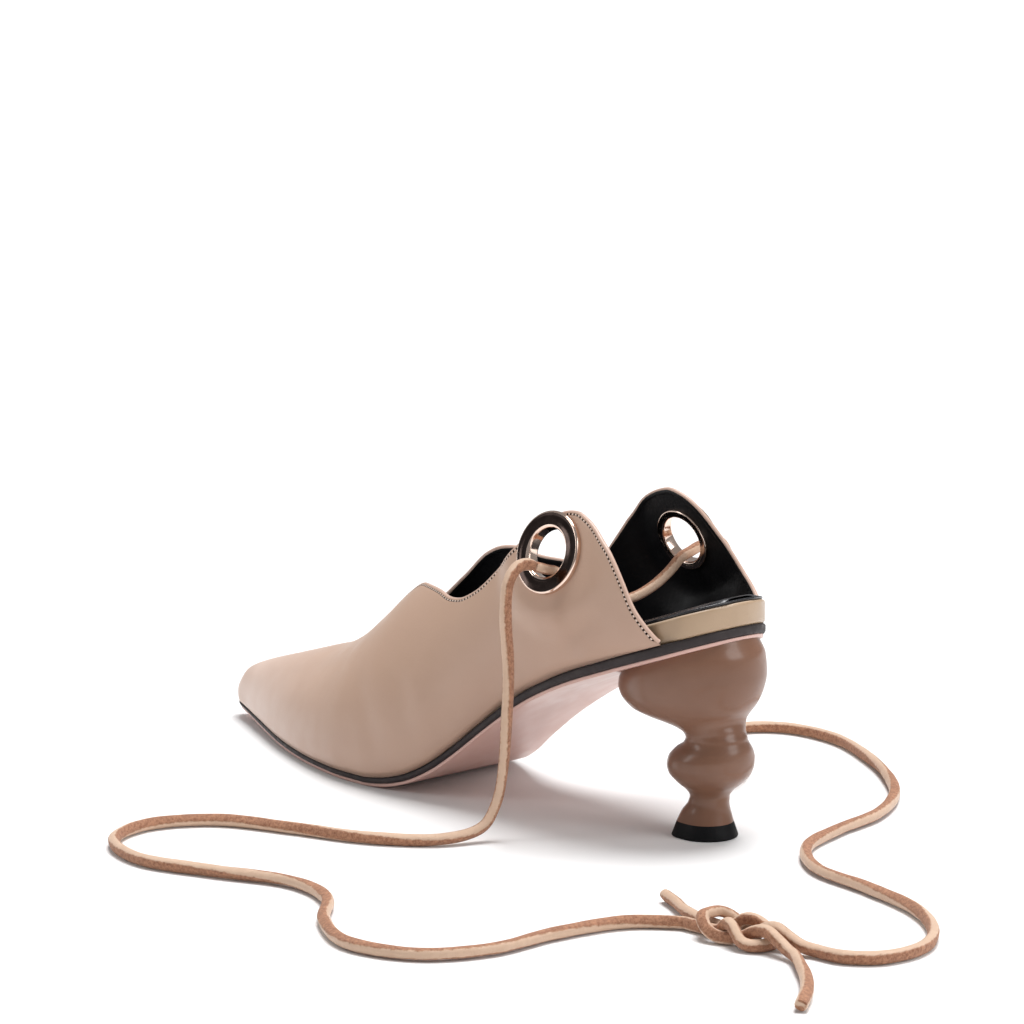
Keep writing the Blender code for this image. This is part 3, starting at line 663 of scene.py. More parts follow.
def black_rubber():
    look = Look("black_rubber", (0.006, 0.006, 0.007), 0.60, Specular_IOR_Level=0.12)
    look.colour(look.mix(look.noise(300, 5), (0.004, 0.004, 0.005), (0.009, 0.009, 0.010)))
    look.roughness(look.patches(200, 4, 0.45, 0.65))
    look.bump(look.noise(1100, 4, 0.7), 0.00006, 0.7)
    return look.material


def polished(name, light, dark, roughness):
    """Plated metal with the lightest haze and hairline wear."""
    look = Look(name, light, roughness, Metallic=1.0)
    look.colour(look.mix(look.patches(260, 4), light, dark))
    look.roughness(look.span(look.noise(420, 4), 0.35, 0.65, roughness * 0.8, roughness * 1.4))
    look.bump(look.noise(700, 3, place=look.stretched((1.0, 0.2, 1.0))), 0.00001, 0.3)
    return look.material


def cord_leather():
    """Leather cord: light, smooth cut edges and ragged red-brown suede sides."""
    look = Look("tan_leather_cord", (0.45, 0.23, 0.14), 0.5, Sheen_Weight=0.12, Sheen_Roughness=0.5)
    face = look.attribute("face")
    torn = look.math("MULTIPLY", look.math("SUBTRACT", look.noise(520, 5, 0.75), 0.5), 1.7)
    ragged = look.math("ADD", face, torn)
    smooth = look.span(ragged, -0.05, 0.55)
    fibre = look.span(look.noise(900, 5, 0.8), 0.35, 0.65)
    suede = look.mix(fibre, (0.255, 0.104, 0.052), (0.485, 0.238, 0.134))
    grain = look.mix(look.noise(420, 4), (0.610, 0.400, 0.270), (0.730, 0.520, 0.380))
    look.colour(look.mix(smooth, suede, grain))
    look.roughness(look.span(smooth, 0.0, 1.0, 0.78, 0.42))
    look.bump(fibre, 0.00020, 0.6)
    look.bump(look.noise(350, 3), 0.0004, 0.25)
    return look.material


def stitch_thread():
    look = Look("beige_thread", (0.74, 0.60, 0.52), 0.6, Sheen_Weight=0.2)
    look.colour(look.mix(look.noise(1500, 3), (0.64, 0.50, 0.42), (0.82, 0.69, 0.61)))
    look.bump(look.noise(4000, 3), 0.00005, 0.6)
    return look.material


def painted_hole_shade():
    # Painted shade: a dark oval laid where the needle hole's shade falls
    look = Look("needle_hole_painted_shade", (0.025, 0.014, 0.011), 0.9, Specular_IOR_Level=0.1)
    look.colour(look.mix(look.noise(1500, 3), (0.015, 0.008, 0.006), (0.036, 0.021, 0.016)))
    return look.material


def floor_paper():
    look = Look("floor_paper", (0.86, 0.86, 0.87), 0.9)
    look.colour(look.mix(look.noise(7, 3), (0.855, 0.855, 0.860), (0.870, 0.868, 0.870)))
    look.bump(look.noise(900, 4), 0.00005, 0.2)
    return look.material


# Upper

def skive(place):
    """Share of the wall left near the throat's point, where the leather is skived to nothing."""
    return 1 - faded((place - APEX).length, 0.0, SKIVE_OVER)


def crease_depth(place, side):
    """How far the worn creases draw the leather in at a place on one side of the shoe."""
    depth = 0.0
    for crease in CREASES:
        if crease.side != side:
            continue
        start, end = Vector((crease.x0, crease.z0)), Vector((crease.x1, crease.z1))
        along = (end - start).normalized()
        reach = Vector((place.x, place.z)) - start
        travelled = reach.dot(along) / (end - start).length
        bow = crease.bow * 4 * travelled * (1 - travelled)
        apart = reach.x * along.y - reach.y * along.x - bow
        fade = faded(abs(travelled - 0.5), CREASE_STEADY, CREASE_FADES)
        trough = exp(-((apart / crease.width) ** 2))
        beside = (apart - CREASE_RIDGE_AWAY * crease.width) / (CREASE_RIDGE_WIDTH * crease.width)
        depth += crease.depth * fade * (trough - CREASE_RIDGE * exp(-(beside**2)))
    return depth


def upper_rows(station, side):
    """Shares and insets of the rows of one column, from the feather edge to just inside the rolled edge."""
    top = topline_share(station, side)
    peak = upper_point(station, top, side)
    tall = (peak - upper_point(station, 0.0, side)).length
    radius = min(UPPER_WALL * skive(peak), WALL_OF_HEIGHT * tall) / 2
    squeeze = min(1.0, EDGE_ROWS_OF_HEIGHT * tall / (EDGE_INSETS[0] + radius))
    if station < THROAT_STATION:
        near = upper_point(station, 1 - CROWN_PROBE, side)
        rate = max((peak - near).length / CROWN_PROBE, LEAST_CROWN_RATE)
        shares = [1 - inset * squeeze / rate for inset in EDGE_INSETS]
        shares = [max(share, CROWN_ROWS_FROM + CROWN_ROWS_APART * i) for i, share in enumerate(shares)]
    else:
        shares = [share_inside(station, side, radius + inset * squeeze) for inset in EDGE_INSETS]
    low = [shares[0] * i / UPPER_ROWS for i in range(UPPER_ROWS)]
    insets = [None] * UPPER_ROWS + [inset * squeeze + radius for inset in EDGE_INSETS]
    return low + shares, insets, tall


def upper_column(station, side):
    """Places, insets and sides of the wall for one closed column: outside, over the rolled edge, inside."""
    shares, insets, tall = upper_rows(station, side)
    peak = upper_point(station, topline_share(station, side), side)
    before = station < THROAT_STATION
    places, marks, normals = [], [], []
    for share, inset in zip(shares, insets):
        place = upper_point(station, share, side)
        normal = upper_normal(station, share, side)
        mark = (place - APEX).length if before else inset
        if mark is None:
            mark = (place - peak).length
        if not before:
            groove = exp(-(((mark - STITCH_INSET) / STITCH_CHANNEL_WIDTH) ** 2))
            place = place - normal * STITCH_CHANNEL_DEPTH * groove * skive(place)
        places.append(place - normal * crease_depth(place, side))
        marks.append(mark)
        normals.append(normal)
    walls = [min(UPPER_WALL * skive(place), WALL_OF_HEIGHT * tall) for place in places]
    inside = [place - normal * wall for place, normal, wall in zip(places, normals, walls)]
    radius = walls[-1] / 2
    across = edge_frame(max(station, THROAT_STATION), side)[3]
    across = (across - normals[-1] * across.dot(normals[-1])).normalized()
    centre = places[-1] - normals[-1] * radius
    rolled = []
    for step in range(1, ROLL_STEPS):
        angle = pi * step / ROLL_STEPS
        reach = 0.0 if before else radius
        rolled.append(centre + (normals[-1] * cos(angle) + across * sin(angle)) * reach)
    ring = places + rolled + inside[::-1]
    kinds = [0] * len(places) + [0] * (ROLL_STEPS - 1) + [1] * len(places)
    edge = marks + [0.0] * len(rolled) + marks[::-1]
    levels = shares + [1.0] * len(rolled) + shares[::-1]
    return ring, kinds, edge, levels


def make_upper(leather, lining):
    stations = eased(UPPER_STATIONS, 0.0, FLAP_END_STATION)
    stations = [station for station in stations if abs(station - THROAT_STATION) > CLEAR_OF_THROAT]
    stations = sorted(stations + [THROAT_STATION])
    mesh = bmesh.new()
    # The leather reads the inset for its painted highlight on the rolled edge and its painted shade in the
    # stitch channel, and the share for its painted shade toward the feather edge
    inset = mesh.verts.layers.float.new("inset")
    level = mesh.verts.layers.float.new("share")
    outside = UPPER_ROWS + len(EDGE_INSETS)
    for side in (-1, 1):
        columns = []
        for station in stations:
            ring, kinds, edge, levels = upper_column(station, side)
            made = [mesh.verts.new(place) for place in ring]
            for vert, value, share in zip(made, edge, levels):
                vert[inset], vert[level] = value, share
            columns.append(made)
        count = len(columns[0])
        axis, hole = eyelet_axis(side), eyelet_centre(side)
        clear = EYELET_BORE / 2 + EYELET_TUBE_WALL + HOLE_CLEARANCE
        for j, (ahead, behind) in enumerate(zip(columns, columns[1:])):
            open_throat = stations[j + 1] <= THROAT_STATION
            for i in range(count):
                if open_throat and outside - 1 <= i < count - outside:
                    continue
                k = (i + 1) % count
                corners = (ahead[i], behind[i], behind[k], ahead[k])
                middle = sum((vert.co for vert in corners), Vector()) / 4 - hole
                if (middle - axis * middle.dot(axis)).length < clear and abs(middle.dot(axis)) < clear:
                    continue
                face = mesh.faces.new(corners if side < 0 else reversed(corners))
                face.material_index = kinds[k]
    bmesh.ops.remove_doubles(mesh, verts=mesh.verts, dist=UPPER_WELD)
    return add_piece(new_object("upper_leather", mesh, [leather, lining]), "upper", "upper")


def stitch_path(side):
    """Points and normals in the stitch channel, evenly close, from the throat to the flap's lower end."""
    first, last = THROAT_STATION + STITCHES_FROM_THROAT, FLAP_END_STATION - STITCHES_FROM_END
    found = []
    for i in range(STITCH_SAMPLES + 1):
        station = first + (last - first) * i / STITCH_SAMPLES
        share = share_inside(station, side, STITCH_INSET)
        normal = upper_normal(station, share, side)
        place = upper_point(station, share, side)
        found.append((place - normal * STITCH_CHANNEL_DEPTH, normal))
    return found


def make_stitches(thread, hole):
    """A lockstitch row inside the topline: short raised threads, with a dark oval of painted shade for the
    needle hole between them.
    """
    mesh = bmesh.new()
    for side in (-1, 1):
        path = stitch_path(side)
        travelled, due = 0.0, STITCH_PITCH
        for (here, normal), (there, _) in zip(path, path[1:]):
            travelled += (there - here).length
            if travelled < due:
                continue
            due += STITCH_PITCH
            along = (there - here).normalized()
            add_stitch(mesh, there, along, normal, 0)
            add_hole(mesh, there + along * STITCH_PITCH / 2, along, normal, 1)
    return add_piece(new_object("topline_stitches", mesh, [thread, hole]), "upper")


def oval(mesh, centre, first, second, sides):
    """Vertices of an oval, from its two half axes."""
    turns = [2 * pi * k / sides for k in range(sides)]
    return [mesh.verts.new(centre + first * cos(turn) + second * sin(turn)) for turn in turns]


def add_stitch(mesh, place, along, normal, index):
    across = along.cross(normal).normalized()
    rings = []
    for reach, girth in STITCH_RINGS:
        lift = STITCH_LIFT - STITCH_DIP * abs(reach) ** 3
        centre = place + along * reach * STITCH_LENGTH / 2 + normal * lift
        radius = STITCH_WIDTH * girth / 2
        rings.append(oval(mesh, centre, across * radius, normal * radius * STITCH_LOWNESS, STITCH_SIDES))
    joined(mesh, rings, index)
    mesh.faces.new(reversed(rings[0])).material_index = index
    mesh.faces.new(rings[-1]).material_index = index


def add_hole(mesh, place, along, normal, index):
    across = along.cross(normal).normalized()
    centre = place + normal * HOLE_LIFT
    ring = oval(mesh, centre, along * HOLE_LENGTH / 2, across * HOLE_WIDTH / 2, HOLE_SIDES)
    mesh.faces.new(reversed(ring)).material_index = index


# Sole pieces

PLATE_EDGE_STEPS = 5
PLATE_STRIPS = 10
PLATE_WELD = 2e-6
EDGE_OF_THICKNESS = 0.49
DOME_WIDTH = 0.02
LEAST_HALF_WIDTH = 0.0002
Plate = namedtuple("Plate", "finish width bottom top start end radius dome")


def outline(width, start, end, inset):
    """Lateral and medial points of a plate's outline from toe to back, drawn in by an inset square to it."""
    stations = eased(SOLE_STATIONS, start, end)
    lateral = [Vector((x_at(s), -width(s, -1))) for s in stations]
    medial = [Vector((x_at(s), width(s, 1))) for s in stations]
    loop = lateral + medial[::-1]
    drawn = []
    for i, point in enumerate(loop):
        along = (loop[(i + 1) % len(loop)] - loop[i - 1]).normalized()
        drawn.append(point + Vector((-along.y, along.x)) * inset)
    count = len(stations)
    middle = (x_at(start) + x_at(end)) / 2
    for point in drawn:
        low, high = x_at(start) + inset, x_at(end) - inset
        point.x = max(point.x, low) if point.x < middle else min(point.x, high)
    left, right = drawn[:count], drawn[count:][::-1]
    for a, b in zip(left, right):
        if a.y > b.y:
            a.y = b.y = (a.y + b.y) / 2
    return left, right


def soft_plate(name, plate):
    """A curved plate with rounded edges all round, and a top that may be domed."""
    quarter = [pi / 2 * i / PLATE_EDGE_STEPS for i in range(PLATE_EDGE_STEPS + 1)]
    corner = [(plate.radius * (1 - sin(angle)), plate.radius * (1 - cos(angle))) for angle in quarter]
    profile = [(*point, 0) for point in corner] + [(*point, 1) for point in corner[::-1]]
    mesh = bmesh.new()
    # 1 on the plate's top face: the seat leather paints its highlight from it
    edge = mesh.verts.layers.float.new("edge")
    loops = []
    for inset, rise, from_top in profile:
        made = []
        for row in outline(plate.width, plate.start, plate.end, inset):
            verts = []
            for point in row:
                station = min(max(station_at(point.x), 0.0), 1.0)
                low, high = plate.bottom(station), plate.top(station)
                reach = min(rise, (high - low) * EDGE_OF_THICKNESS)
                vert = mesh.verts.new((point.x, point.y, high - reach if from_top else low + reach))
                vert[edge] = from_top * (1 - rise / plate.radius)
                verts.append(vert)
            made.append(verts)
        loops.append(made)
    joined(mesh, [left + right[::-1] for left, right in loops])
    for (left, right), lift in ((loops[0], 0.0), (loops[-1], plate.dome)):
        strips = []
        for a, b in zip(left, right):
            strip = [a]
            for k in range(1, PLATE_STRIPS):
                share = k / PLATE_STRIPS
                place = a.co.lerp(b.co, share)
                place.z += lift * (1 - (2 * share - 1) ** 4) * min(1.0, (b.co.y - a.co.y) / DOME_WIDTH)
                strip.append(mesh.verts.new(place))
            strips.append(strip + [b])
        for here, there in zip(strips, strips[1:]):
            for k in range(PLATE_STRIPS):
                mesh.faces.new((here[k], here[k + 1], there[k + 1], there[k]))
    bmesh.ops.remove_doubles(mesh, verts=mesh.verts, dist=PLATE_WELD)
    bmesh.ops.recalc_face_normals(mesh, faces=mesh.faces)
    return new_object(name, mesh, [plate.finish()], sharp=0.7)


def outsole_width(station, side):
    return max(half_width(station, side) - OUTSOLE_INSET, LEAST_HALF_WIDTH)


def board_width(station, side):
    inside = half_width(station, side) - UPPER_WALL - BOARD_SIDE_FIT
    outside = half_width(station, side) - SEAT_EDGE_INSET
    step = faded(FLAP_END_STATION + BOARD_STEP - station, 0.0, BOARD_STEP)
    return inside + (outside - inside) * step


def sock_width(station, side):
    return max(board_width(station, side) - SOCK_INSET, LEAST_HALF_WIDTH)


def make_sole():
    """Outsole, band, board and sock, with the fitting gaps of the solids closed."""
    band_under = lambda station: band_bottom(station) - FIT / 2
    board_under = lambda station: board_bottom(station) - FIT / 2
    sock_top = lambda station: board_top(station) + FIT + SOCK_THICKNESS
    sock_end = 1 - SOCK_INSET / SHOE_LENGTH
    plates = {
        "outsole": Plate(pink_sole, outsole_width, under_height, band_bottom, 0.0004, 0.9996, 0.0004, 0.0),
        "edge_band": Plate(charcoal_edge, half_width, band_under, board_bottom, 0.0002, 0.9998, 0.0011, 0.0),
        "footbed": Plate(seat_leather, board_width, board_under, board_top, BOARD_START, 0.9995, 0.0012, 0.0),
        "sock": Plate(sock_leather, sock_width, board_top, sock_top, SOCK_START, sock_end, 0.0006, 0.0012),
    }
    for name, plate in plates.items():
        add_piece(soft_plate(f"{name}_skin", plate), name, name)


# Heel

# How far the heel reaches into the outsole, and the top piece's rings: size against the heel's tip, height
HEEL_SEAT_LAP = 0.0001
TOP_PIECE_RINGS = (
    (0.96, 0.0),
    (1.15, 0.0),
    (TOP_PIECE_FLARE, 0.0003),
    (1.163, 0.0006),
    (1.01, TOP_PIECE_HEIGHT - 0.0003),
    (0.99, TOP_PIECE_HEIGHT),
)


def heel_ring(level, sides, grow=1.0, height=None):
    row = Ring(level, *(at(HEEL, column, level) for column in Ring._fields[1:]))
    axis = 1 - HEEL_FROM_BACK / SHOE_LENGTH
    centre = x_at(axis) + row.centre * HEEL_WAIST_WIDTH
    seat = under_height(station_at(centre)) + HEEL_SEAT_LAP
    low = TOP_PIECE_HEIGHT
    middle = low + (seat - low) * row.level if height is None else height
    ring = []
    for i in range(sides):
        angle = 2 * pi * i / sides
        ahead = cos(angle) < 0
        reach = row.front if ahead else row.back
        along = abs(cos(angle)) ** (row.square if ahead else 1.0)
        x = centre + (-1 if ahead else 1) * along * reach * HEEL_WAIST_WIDTH * grow
        y = sin(angle) * row.side * HEEL_WAIST_WIDTH * grow
        tilt = under_height(min(station_at(x), 1.0)) + HEEL_SEAT_LAP - seat
        ring.append(Vector((x, y, middle + row.slope * tilt)))
    return ring


def closed_loft(name, rings, finish):
    mesh = bmesh.new()
    made = [[mesh.verts.new(point) for point in ring] for ring in rings]
    joined(mesh, made)
    mesh.faces.new(made[0])
    mesh.faces.new(reversed(made[-1]))
    bmesh.ops.recalc_face_normals(mesh, faces=mesh.faces)
    return new_object(name, mesh, [finish], sharp=0.6)


def make_heel(lacquer, rubber):
    rings = [heel_ring(i / HEEL_LEVELS, HEEL_SIDES) for i in range(HEEL_LEVELS + 1)]
    add_piece(closed_loft("heel_skin", rings, lacquer), "heel", "heel")
    rings = [heel_ring(0.0, HEEL_SIDES, grow, height) for grow, height in TOP_PIECE_RINGS]
    add_piece(closed_loft("top_piece_skin", rings, rubber), "top_piece", "top_piece")


# Eyelets

def arc(centre, radius, start, end, steps):
    """Points of a profile's rounded corner, angles in degrees."""
    found = []
    for i in range(steps + 1):
        angle = radians(start + (end - start) * i / steps)
        found.append((centre[0] + radius * cos(angle), centre[1] + radius * sin(angle)))
    return found


def make_eyelet(side, face, rim):
    """Turned ring: dished face darkened as a painted dark reflection, with bright rolled rims, and the tube
    clenched over a washer inside.
    """
    bore = EYELET_BORE / 2
    outer = EYELET_DIAMETER / 2
    washer = WASHER_DIAMETER / 2
    top = FIT + EYELET_FLANGE
    back = -UPPER_WALL - FIT - WASHER_THICKNESS
    mouth, roll, clench, washer_round, lift = 0.0012, 0.0007, 0.0008, 0.0004, 0.0001
    inner = arc((bore + mouth, top - mouth), mouth, 180, 90, 8)
    dish = [(bore + mouth + 0.0004, top - 0.00012), (outer - roll - 0.0005, top - 0.00030)]
    rolled = arc((outer - roll, top - roll), roll, 90, 0, 7)
    tube_side = bore + EYELET_TUBE_WALL
    under = [(outer, lift), (tube_side, lift), (tube_side, -UPPER_WALL)]
    inside = [(washer, -UPPER_WALL)]
    inside += arc((washer - washer_round, back + washer_round), washer_round, 0, -90, 4)
    inside += arc((bore + clench, back + clench), clench, -90, -180, 7)
    profile = inner + dish + rolled + under + inside
    bright = set(range(0, 7)) | set(range(len(inner) + 2, len(profile)))
    mesh = bmesh.new()
    rings = []
    for k in range(TURNED_STEPS):
        angle = 2 * pi * k / TURNED_STEPS
        rings.append([mesh.verts.new((r * cos(angle), r * sin(angle), h)) for r, h in profile])
    for k, ring in enumerate(rings):
        after = rings[(k + 1) % TURNED_STEPS]
        for i in range(len(profile)):
            j = (i + 1) % len(profile)
            made = mesh.faces.new((ring[i], ring[j], after[j], after[i]))
            made.material_index = 1 if i in bright else 0
    bmesh.ops.recalc_face_normals(mesh, faces=mesh.faces)
    turn = Matrix.Rotation(-side * (pi / 2 - FLAP_LEAN), 4, "X")
    matrix = Matrix.Translation(eyelet_centre(side)) @ turn
    bmesh.ops.transform(mesh, matrix=matrix, verts=mesh.verts)
    name = "lateral" if side < 0 else "medial"
    obj = new_object(f"eyelet_{name}_ring", mesh, [face, rim], sharp=0.7)
    add_piece(obj, "eyelet", f"eyelet_{name}")


# Lace

# Height of the lace's middle where it lies on the floor
LACE_LIES_AT = 0.0021
LATERAL_ROUTE = [
    (0.0885, -0.0365, 0.0866), (0.0885, -0.0400, 0.0875), (0.0886, -0.0438, 0.0869),
    (0.0888, -0.0470, 0.0839), (0.0890, -0.0487, 0.0794), (0.0893, -0.0493, 0.0700),
    (0.0898, -0.0486, 0.0540), (0.0900, -0.0496, 0.0380), (0.0900, -0.0512, 0.0220),
    (0.0896, -0.0542, 0.0110), (0.0880, -0.0602, 0.0040),
]
LATERAL_ROUTE += [(x, y, LACE_LIES_AT) for x, y in (
    (0.0820, -0.0740), (0.0640, -0.0880), (0.0400, -0.0970), (0.0160, -0.1080),
    (0.0050, -0.1280), (0.0130, -0.1480), (0.0370, -0.1560), (0.0630, -0.1480),
    (0.0880, -0.1380), (0.1100, -0.1420), (0.1280, -0.1580), (0.1500, -0.1680),
    (0.1720, -0.1610), (0.1830, -0.1420), (0.1840, -0.1180), (0.1890, -0.0960),
)]
MEDIAL_ROUTE = [
    (0.0925, 0.0365, 0.0851), (0.0925, 0.0400, 0.0860), (0.0926, 0.0438, 0.0854),
    (0.0927, 0.0470, 0.0824), (0.0928, 0.0487, 0.0774), (0.0930, 0.0493, 0.0680),
    (0.0932, 0.0486, 0.0530), (0.0932, 0.0496, 0.0370), (0.0928, 0.0512, 0.0220),
    (0.0918, 0.0545, 0.0110), (0.0890, 0.0605, 0.0040),
]
MEDIAL_ROUTE += [(x, y, LACE_LIES_AT) for x, y in (
    (0.0800, 0.0720), (0.0640, 0.0820), (0.0480, 0.0940), (0.0420, 0.1100),
    (0.0540, 0.1220), (0.0760, 0.1220), (0.1000, 0.1110), (0.1230, 0.0960),
    (0.1430, 0.0770), (0.1560, 0.0540), (0.1610, 0.0290), (0.1690, 0.0060),
    (0.1880, -0.0100), (0.2130, -0.0150), (0.2380, -0.0220), (0.2560, -0.0345),
    (0.2660, -0.0500), (0.2655, -0.0655), (0.2575, -0.0742),
)]

# Half of the reef knot in its own frame: the bight opens to -X and its bend lies under the other's ends
KNOT_BIGHT = [
    (-0.0220, 0.0040, 0.0021), (-0.0170, 0.0026, 0.0021), (-0.0120, 0.0022, 0.0021),
    (-0.0080, 0.0022, 0.0022), (-0.0050, 0.0024, 0.0032), (-0.0022, 0.0034, 0.0056),
    (0.0004, 0.0045, 0.0061), (0.0032, 0.0056, 0.0050), (0.0062, 0.0064, 0.0028),
    (0.0090, 0.0058, 0.0021), (0.0114, 0.0036, 0.0021), (0.0122, 0.0000, 0.0021),
]
# The other half: the bight opens to +X, its bend lies over the first one's ends
KNOT_OVER_BIGHT = [
    (0.0260, 0.0044, 0.0021), (0.0215, 0.0030, 0.0028), (0.0170, 0.0024, 0.0046),
    (0.0125, 0.0022, 0.0062), (0.0080, 0.0023, 0.0052), (0.0040, 0.0028, 0.0030),
    (0.0004, 0.0043, 0.0021), (-0.0034, 0.0060, 0.0022), (-0.0066, 0.0066, 0.0034),
    (-0.0096, 0.0056, 0.0052), (-0.0116, 0.0034, 0.0062), (-0.0122, 0.0000, 0.0063),
]
LATERAL_TAIL = [
    (-0.0290, 0.0066, 0.0021), (-0.0360, 0.0105, 0.0021), (-0.0450, 0.0145, 0.0021),
]
MEDIAL_TAIL = [
    (0.0320, -0.0090, 0.0021), (0.0410, -0.0165, 0.0021), (0.0500, -0.0260, 0.0021),
    (0.0580, -0.0370, 0.0021),
]


def in_knot(point):
    return (point[0] + KNOT_PLACE[0], point[1] + KNOT_PLACE[1], point[2])


def mirrored(points):
    """The bight's second strand, from its bend back out."""
    return [(x, -y, z) for x, y, z in points[-2::-1]]


def through(points, per_span):
    """Points on a smooth curve through the given ones, some for each span between them."""
    points = [Vector(point) for point in points]
    ends = [2 * points[0] - points[1]] + points + [2 * points[-1] - points[-2]]
    found = []
    for a, b, c, d in zip(ends, ends[1:], ends[2:], ends[3:]):
        for i in range(per_span):
            t = i / per_span
            found.append(
                0.5 * ((2 * b) + (c - a) * t + (2 * a - 5 * b + 4 * c - d) * t**2
                       + (3 * b - a - 3 * c + d) * t**3)
            )
    return found + [points[-1]]


def evenly(points, spacing):
    """The same curve with its points the spacing apart."""
    found, travelled, due = [points[0]], 0.0, spacing
    for here, there in zip(points, points[1:]):
        span = (there - here).length
        while travelled + span >= due:
            found.append(here.lerp(there, (due - travelled) / span))
            due += spacing
        travelled += span
    found[-1] = points[-1]
    return found


# The cord's section: how square it is, its size against a round one, and how much thinner one way
LACE_SQUARENESS = 2.8
LACE_FULLNESS = 0.95
LACE_FLATTENING = 0.13
# How the cord sways as it twists, swells along its length and draws in at a cut end
LACE_SWAY = 0.6
LACE_SWAY_RATE = 37
LACE_SWELL = 0.018
LACE_SWELL_RATE = 210
LACE_RIPPLE = 0.012
LACE_RIPPLE_RATE = 557
LACE_END_SHARES = (0.86, 0.97)


def tube(name, path, finish, twist, phase):
    """A soft-cornered leather cord along a path, light on its two cut edges and suede on its broad sides."""
    mesh = bmesh.new()
    face = mesh.verts.layers.float.new("face")
    radius = LACE_DIAMETER / 2
    across = None
    rings = []
    travelled = 0.0
    for i, place in enumerate(path):
        ahead = path[min(i + 1, len(path) - 1)] - path[max(i - 1, 0)]
        along = ahead.normalized()
        if across is None:
            across = along.cross(Vector((0.3, 0.1, 1.0))).normalized()
        across = (across - along * across.dot(along)).normalized()
        other = along.cross(across)
        travelled += (place - path[max(i - 1, 0)]).length
        turned = phase + twist * travelled + LACE_SWAY * sin(travelled * LACE_SWAY_RATE + phase)
        swell = 1 + LACE_SWELL * sin(travelled * LACE_SWELL_RATE + phase)
        swell += LACE_RIPPLE * sin(travelled * LACE_RIPPLE_RATE)
        end = min(i, len(path) - 1 - i)
        swell *= LACE_END_SHARES[end] if end < len(LACE_END_SHARES) else 1.0
        ring = []
        for k in range(LACE_SIDES):
            angle = 2 * pi * k / LACE_SIDES
            lengthwise, crosswise = abs(cos(angle - turned)), abs(sin(angle - turned))
            square = lengthwise**LACE_SQUARENESS + crosswise**LACE_SQUARENESS
            flat = LACE_FULLNESS / square ** (1 / LACE_SQUARENESS) * (1 - LACE_FLATTENING * crosswise**2)
            vert = mesh.verts.new(place + (across * cos(angle) + other * sin(angle)) * radius * swell * flat)
            vert[face] = cos(2 * (angle - turned))
            ring.append(vert)
        rings.append(ring)
    joined(mesh, rings)
    mesh.faces.new(reversed(rings[0]))
    mesh.faces.new(rings[-1])
    return new_object(name, mesh, [finish], sharp=0.9)


def bore_rest(side, along):
    """Middle of a lace that lies in the low side of an eyelet's bore, at a distance out along its axis."""
    down = Vector((0, side * sin(FLAP_LEAN), -cos(FLAP_LEAN)))
    rest = EYELET_BORE / 2 - LACE_DIAMETER / 2 - LACE_IN_BORE_FIT
    return eyelet_centre(side) + eyelet_axis(side) * along + down * rest


def make_lace_bar(finish):
    outside = EYELET_FLANGE + LACE_DIAMETER
    inside = -UPPER_WALL - WASHER_THICKNESS - LACE_DIAMETER / 2
    first, last = bore_rest(-1, inside), bore_rest(1, inside)
    points = [bore_rest(-1, outside), bore_rest(-1, 0.0), first]
    for share in (0.10, 0.22, 0.36, 0.50, 0.64, 0.78, 0.90):
        place = first.lerp(last, share)
        place.z -= BAR_SAG * 4 * share * (1 - share)
        points.append(place)
    points += [last, bore_rest(1, 0.0), bore_rest(1, outside)]
    path = evenly(through(points, 24), 0.0009)
    add_piece(tube("lace_bar_cord", path, finish, 9.0, 2.6), "lace", "lace_bar")


def make_lace(name, points, nodes, finish, phase):
    """One free end of the lace, from its eyelet through the knot to its bare end."""
    path = evenly(through(points, 40), 0.0010)
    cord = tube(name, path, finish, 7.0, phase)
    add_piece(cord, "lace", *nodes)


def make_laces(finish):
    make_lace_bar(finish)
    under = [(x, -y, z) for x, y, z in KNOT_BIGHT]
    lateral = LATERAL_ROUTE + [in_knot(p) for p in under + mirrored(under) + LATERAL_TAIL]
    over = KNOT_OVER_BIGHT + mirrored(KNOT_OVER_BIGHT)
    medial = MEDIAL_ROUTE + [in_knot(p) for p in over + MEDIAL_TAIL]
    make_lace("lace_lateral_cord", lateral,
              ["lace_lateral", "lace_knot", "lace_tail_lateral"], finish, 1.2)
    make_lace("lace_medial_cord", medial,
              ["lace_medial", "lace_tail_medial"], finish, 2.9)


# Stage

# Half the floor's side, which reaches past the top of the photograph's frame, and the floor's height
FLOOR_SIZE = 14.0
FLOOR_CELLS = 40
FLOOR_HEIGHT = -0.0001
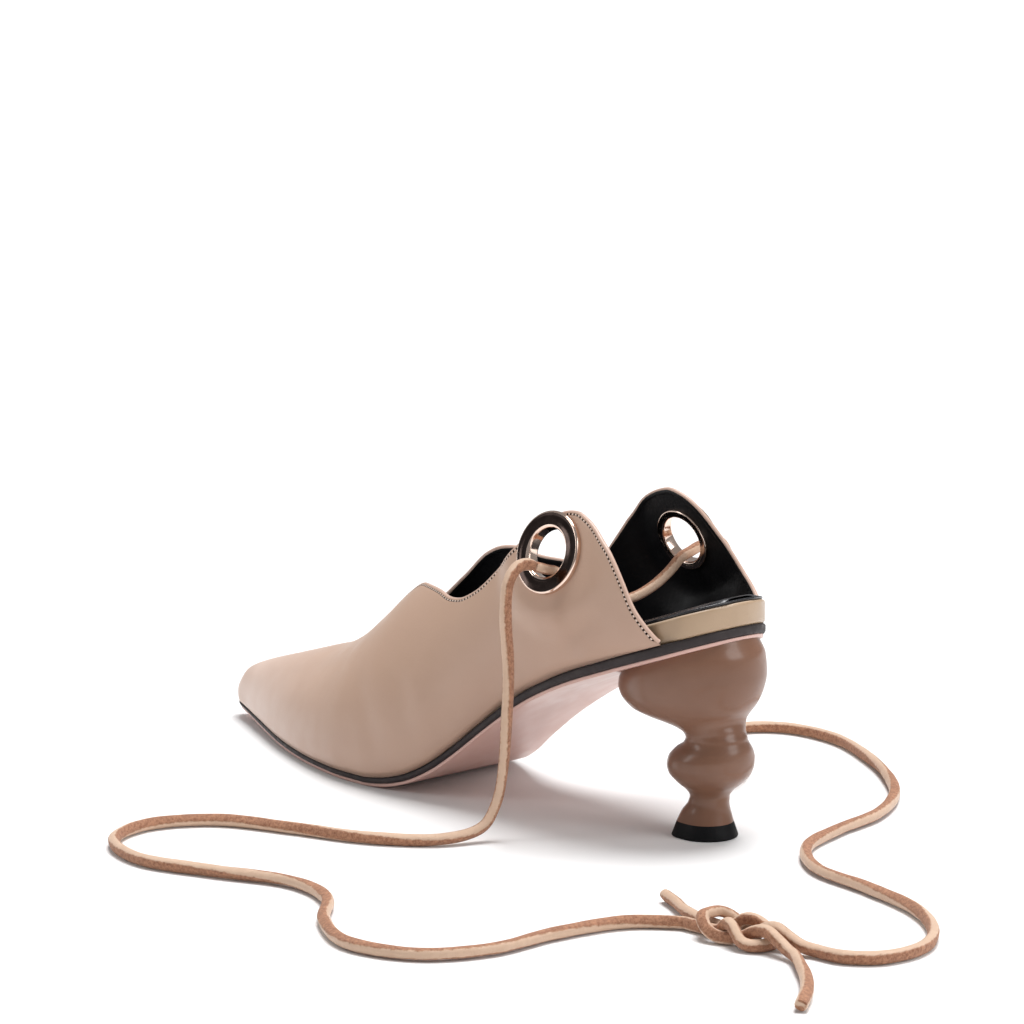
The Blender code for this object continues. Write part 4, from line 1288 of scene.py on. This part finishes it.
# Light of the room, the large soft light overhead with the direction it comes from, and two softboxes
SKY_STRENGTH = 0.31
SUN_STRENGTH = 3.4
SUN_SOFTNESS = 32
SUN_FROM = (-0.10, 0.24, 0.96)
LIT_POINT = Vector((0.05, 0.0, 0.05))
Softbox = namedtuple("Softbox", "name place width height power")
SOFTBOXES = (
    Softbox("left", (-0.55, -0.95, 0.75), 0.35, 0.60, 2.2),
    Softbox("right", (1.05, 0.30, 0.60), 0.58, 0.60, 4.6),
)


def make_floor():
    mesh = bmesh.new()
    bmesh.ops.create_grid(mesh, x_segments=FLOOR_CELLS, y_segments=FLOOR_CELLS, size=FLOOR_SIZE)
    bmesh.ops.translate(mesh, verts=mesh.verts, vec=(0, 0, FLOOR_HEIGHT))
    new_object("floor", mesh, [floor_paper()])


def add_light(name, kind, power, direction):
    """A light that shines from the direction given, and its data for what its kind needs."""
    data = bpy.data.lights.new(name, kind)
    data.energy = power
    light = bpy.data.objects.new(name, data)
    light.rotation_euler = direction.to_track_quat("Z", "Y").to_euler()
    bpy.context.scene.collection.objects.link(light)
    return light, data


def make_light():
    world = bpy.data.worlds.new("studio")
    bpy.context.scene.world = world
    world.use_nodes = True
    background = world.node_tree.nodes["Background"]
    background.inputs["Color"].default_value = (1, 1, 1, 1)
    seen = world.node_tree.nodes.new("ShaderNodeLightPath").outputs["Is Camera Ray"]
    strength = world.node_tree.nodes.new("ShaderNodeMapRange")
    strength.inputs["To Min"].default_value = SKY_STRENGTH
    world.node_tree.links.new(seen, strength.inputs["Value"])
    world.node_tree.links.new(strength.outputs[0], background.inputs["Strength"])
    _, data = add_light("softbox_overhead", "SUN", SUN_STRENGTH, Vector(SUN_FROM))
    data.angle = radians(SUN_SOFTNESS)
    for box in SOFTBOXES:
        light, data = add_light(box.name, "AREA", box.power, Vector(box.place) - LIT_POINT)
        light.location = box.place
        data.shape = "RECTANGLE"
        data.size, data.size_y = box.width, box.height
    bpy.context.scene.view_settings.view_transform = "Standard"


leather, lining = nude_leather(), black_lining()
make_upper(leather, lining)
make_stitches(stitch_thread(), painted_hole_shade())
make_sole()
make_heel(heel_lacquer(), black_rubber())
# The eyelets' face: polished metal darkened to a painted dark reflection
painted_reflection_face = polished("mirror_metal_painted_dark_reflection", (0.060, 0.043, 0.038), (0.040, 0.028, 0.025), 0.12)
bright_rim = polished("rose_gold_metal", (0.86, 0.68, 0.58), (0.78, 0.59, 0.49), 0.10)
for side in (-1, 1):
    make_eyelet(side, painted_reflection_face, bright_rim)
make_laces(cord_leather())
make_floor()
make_light()
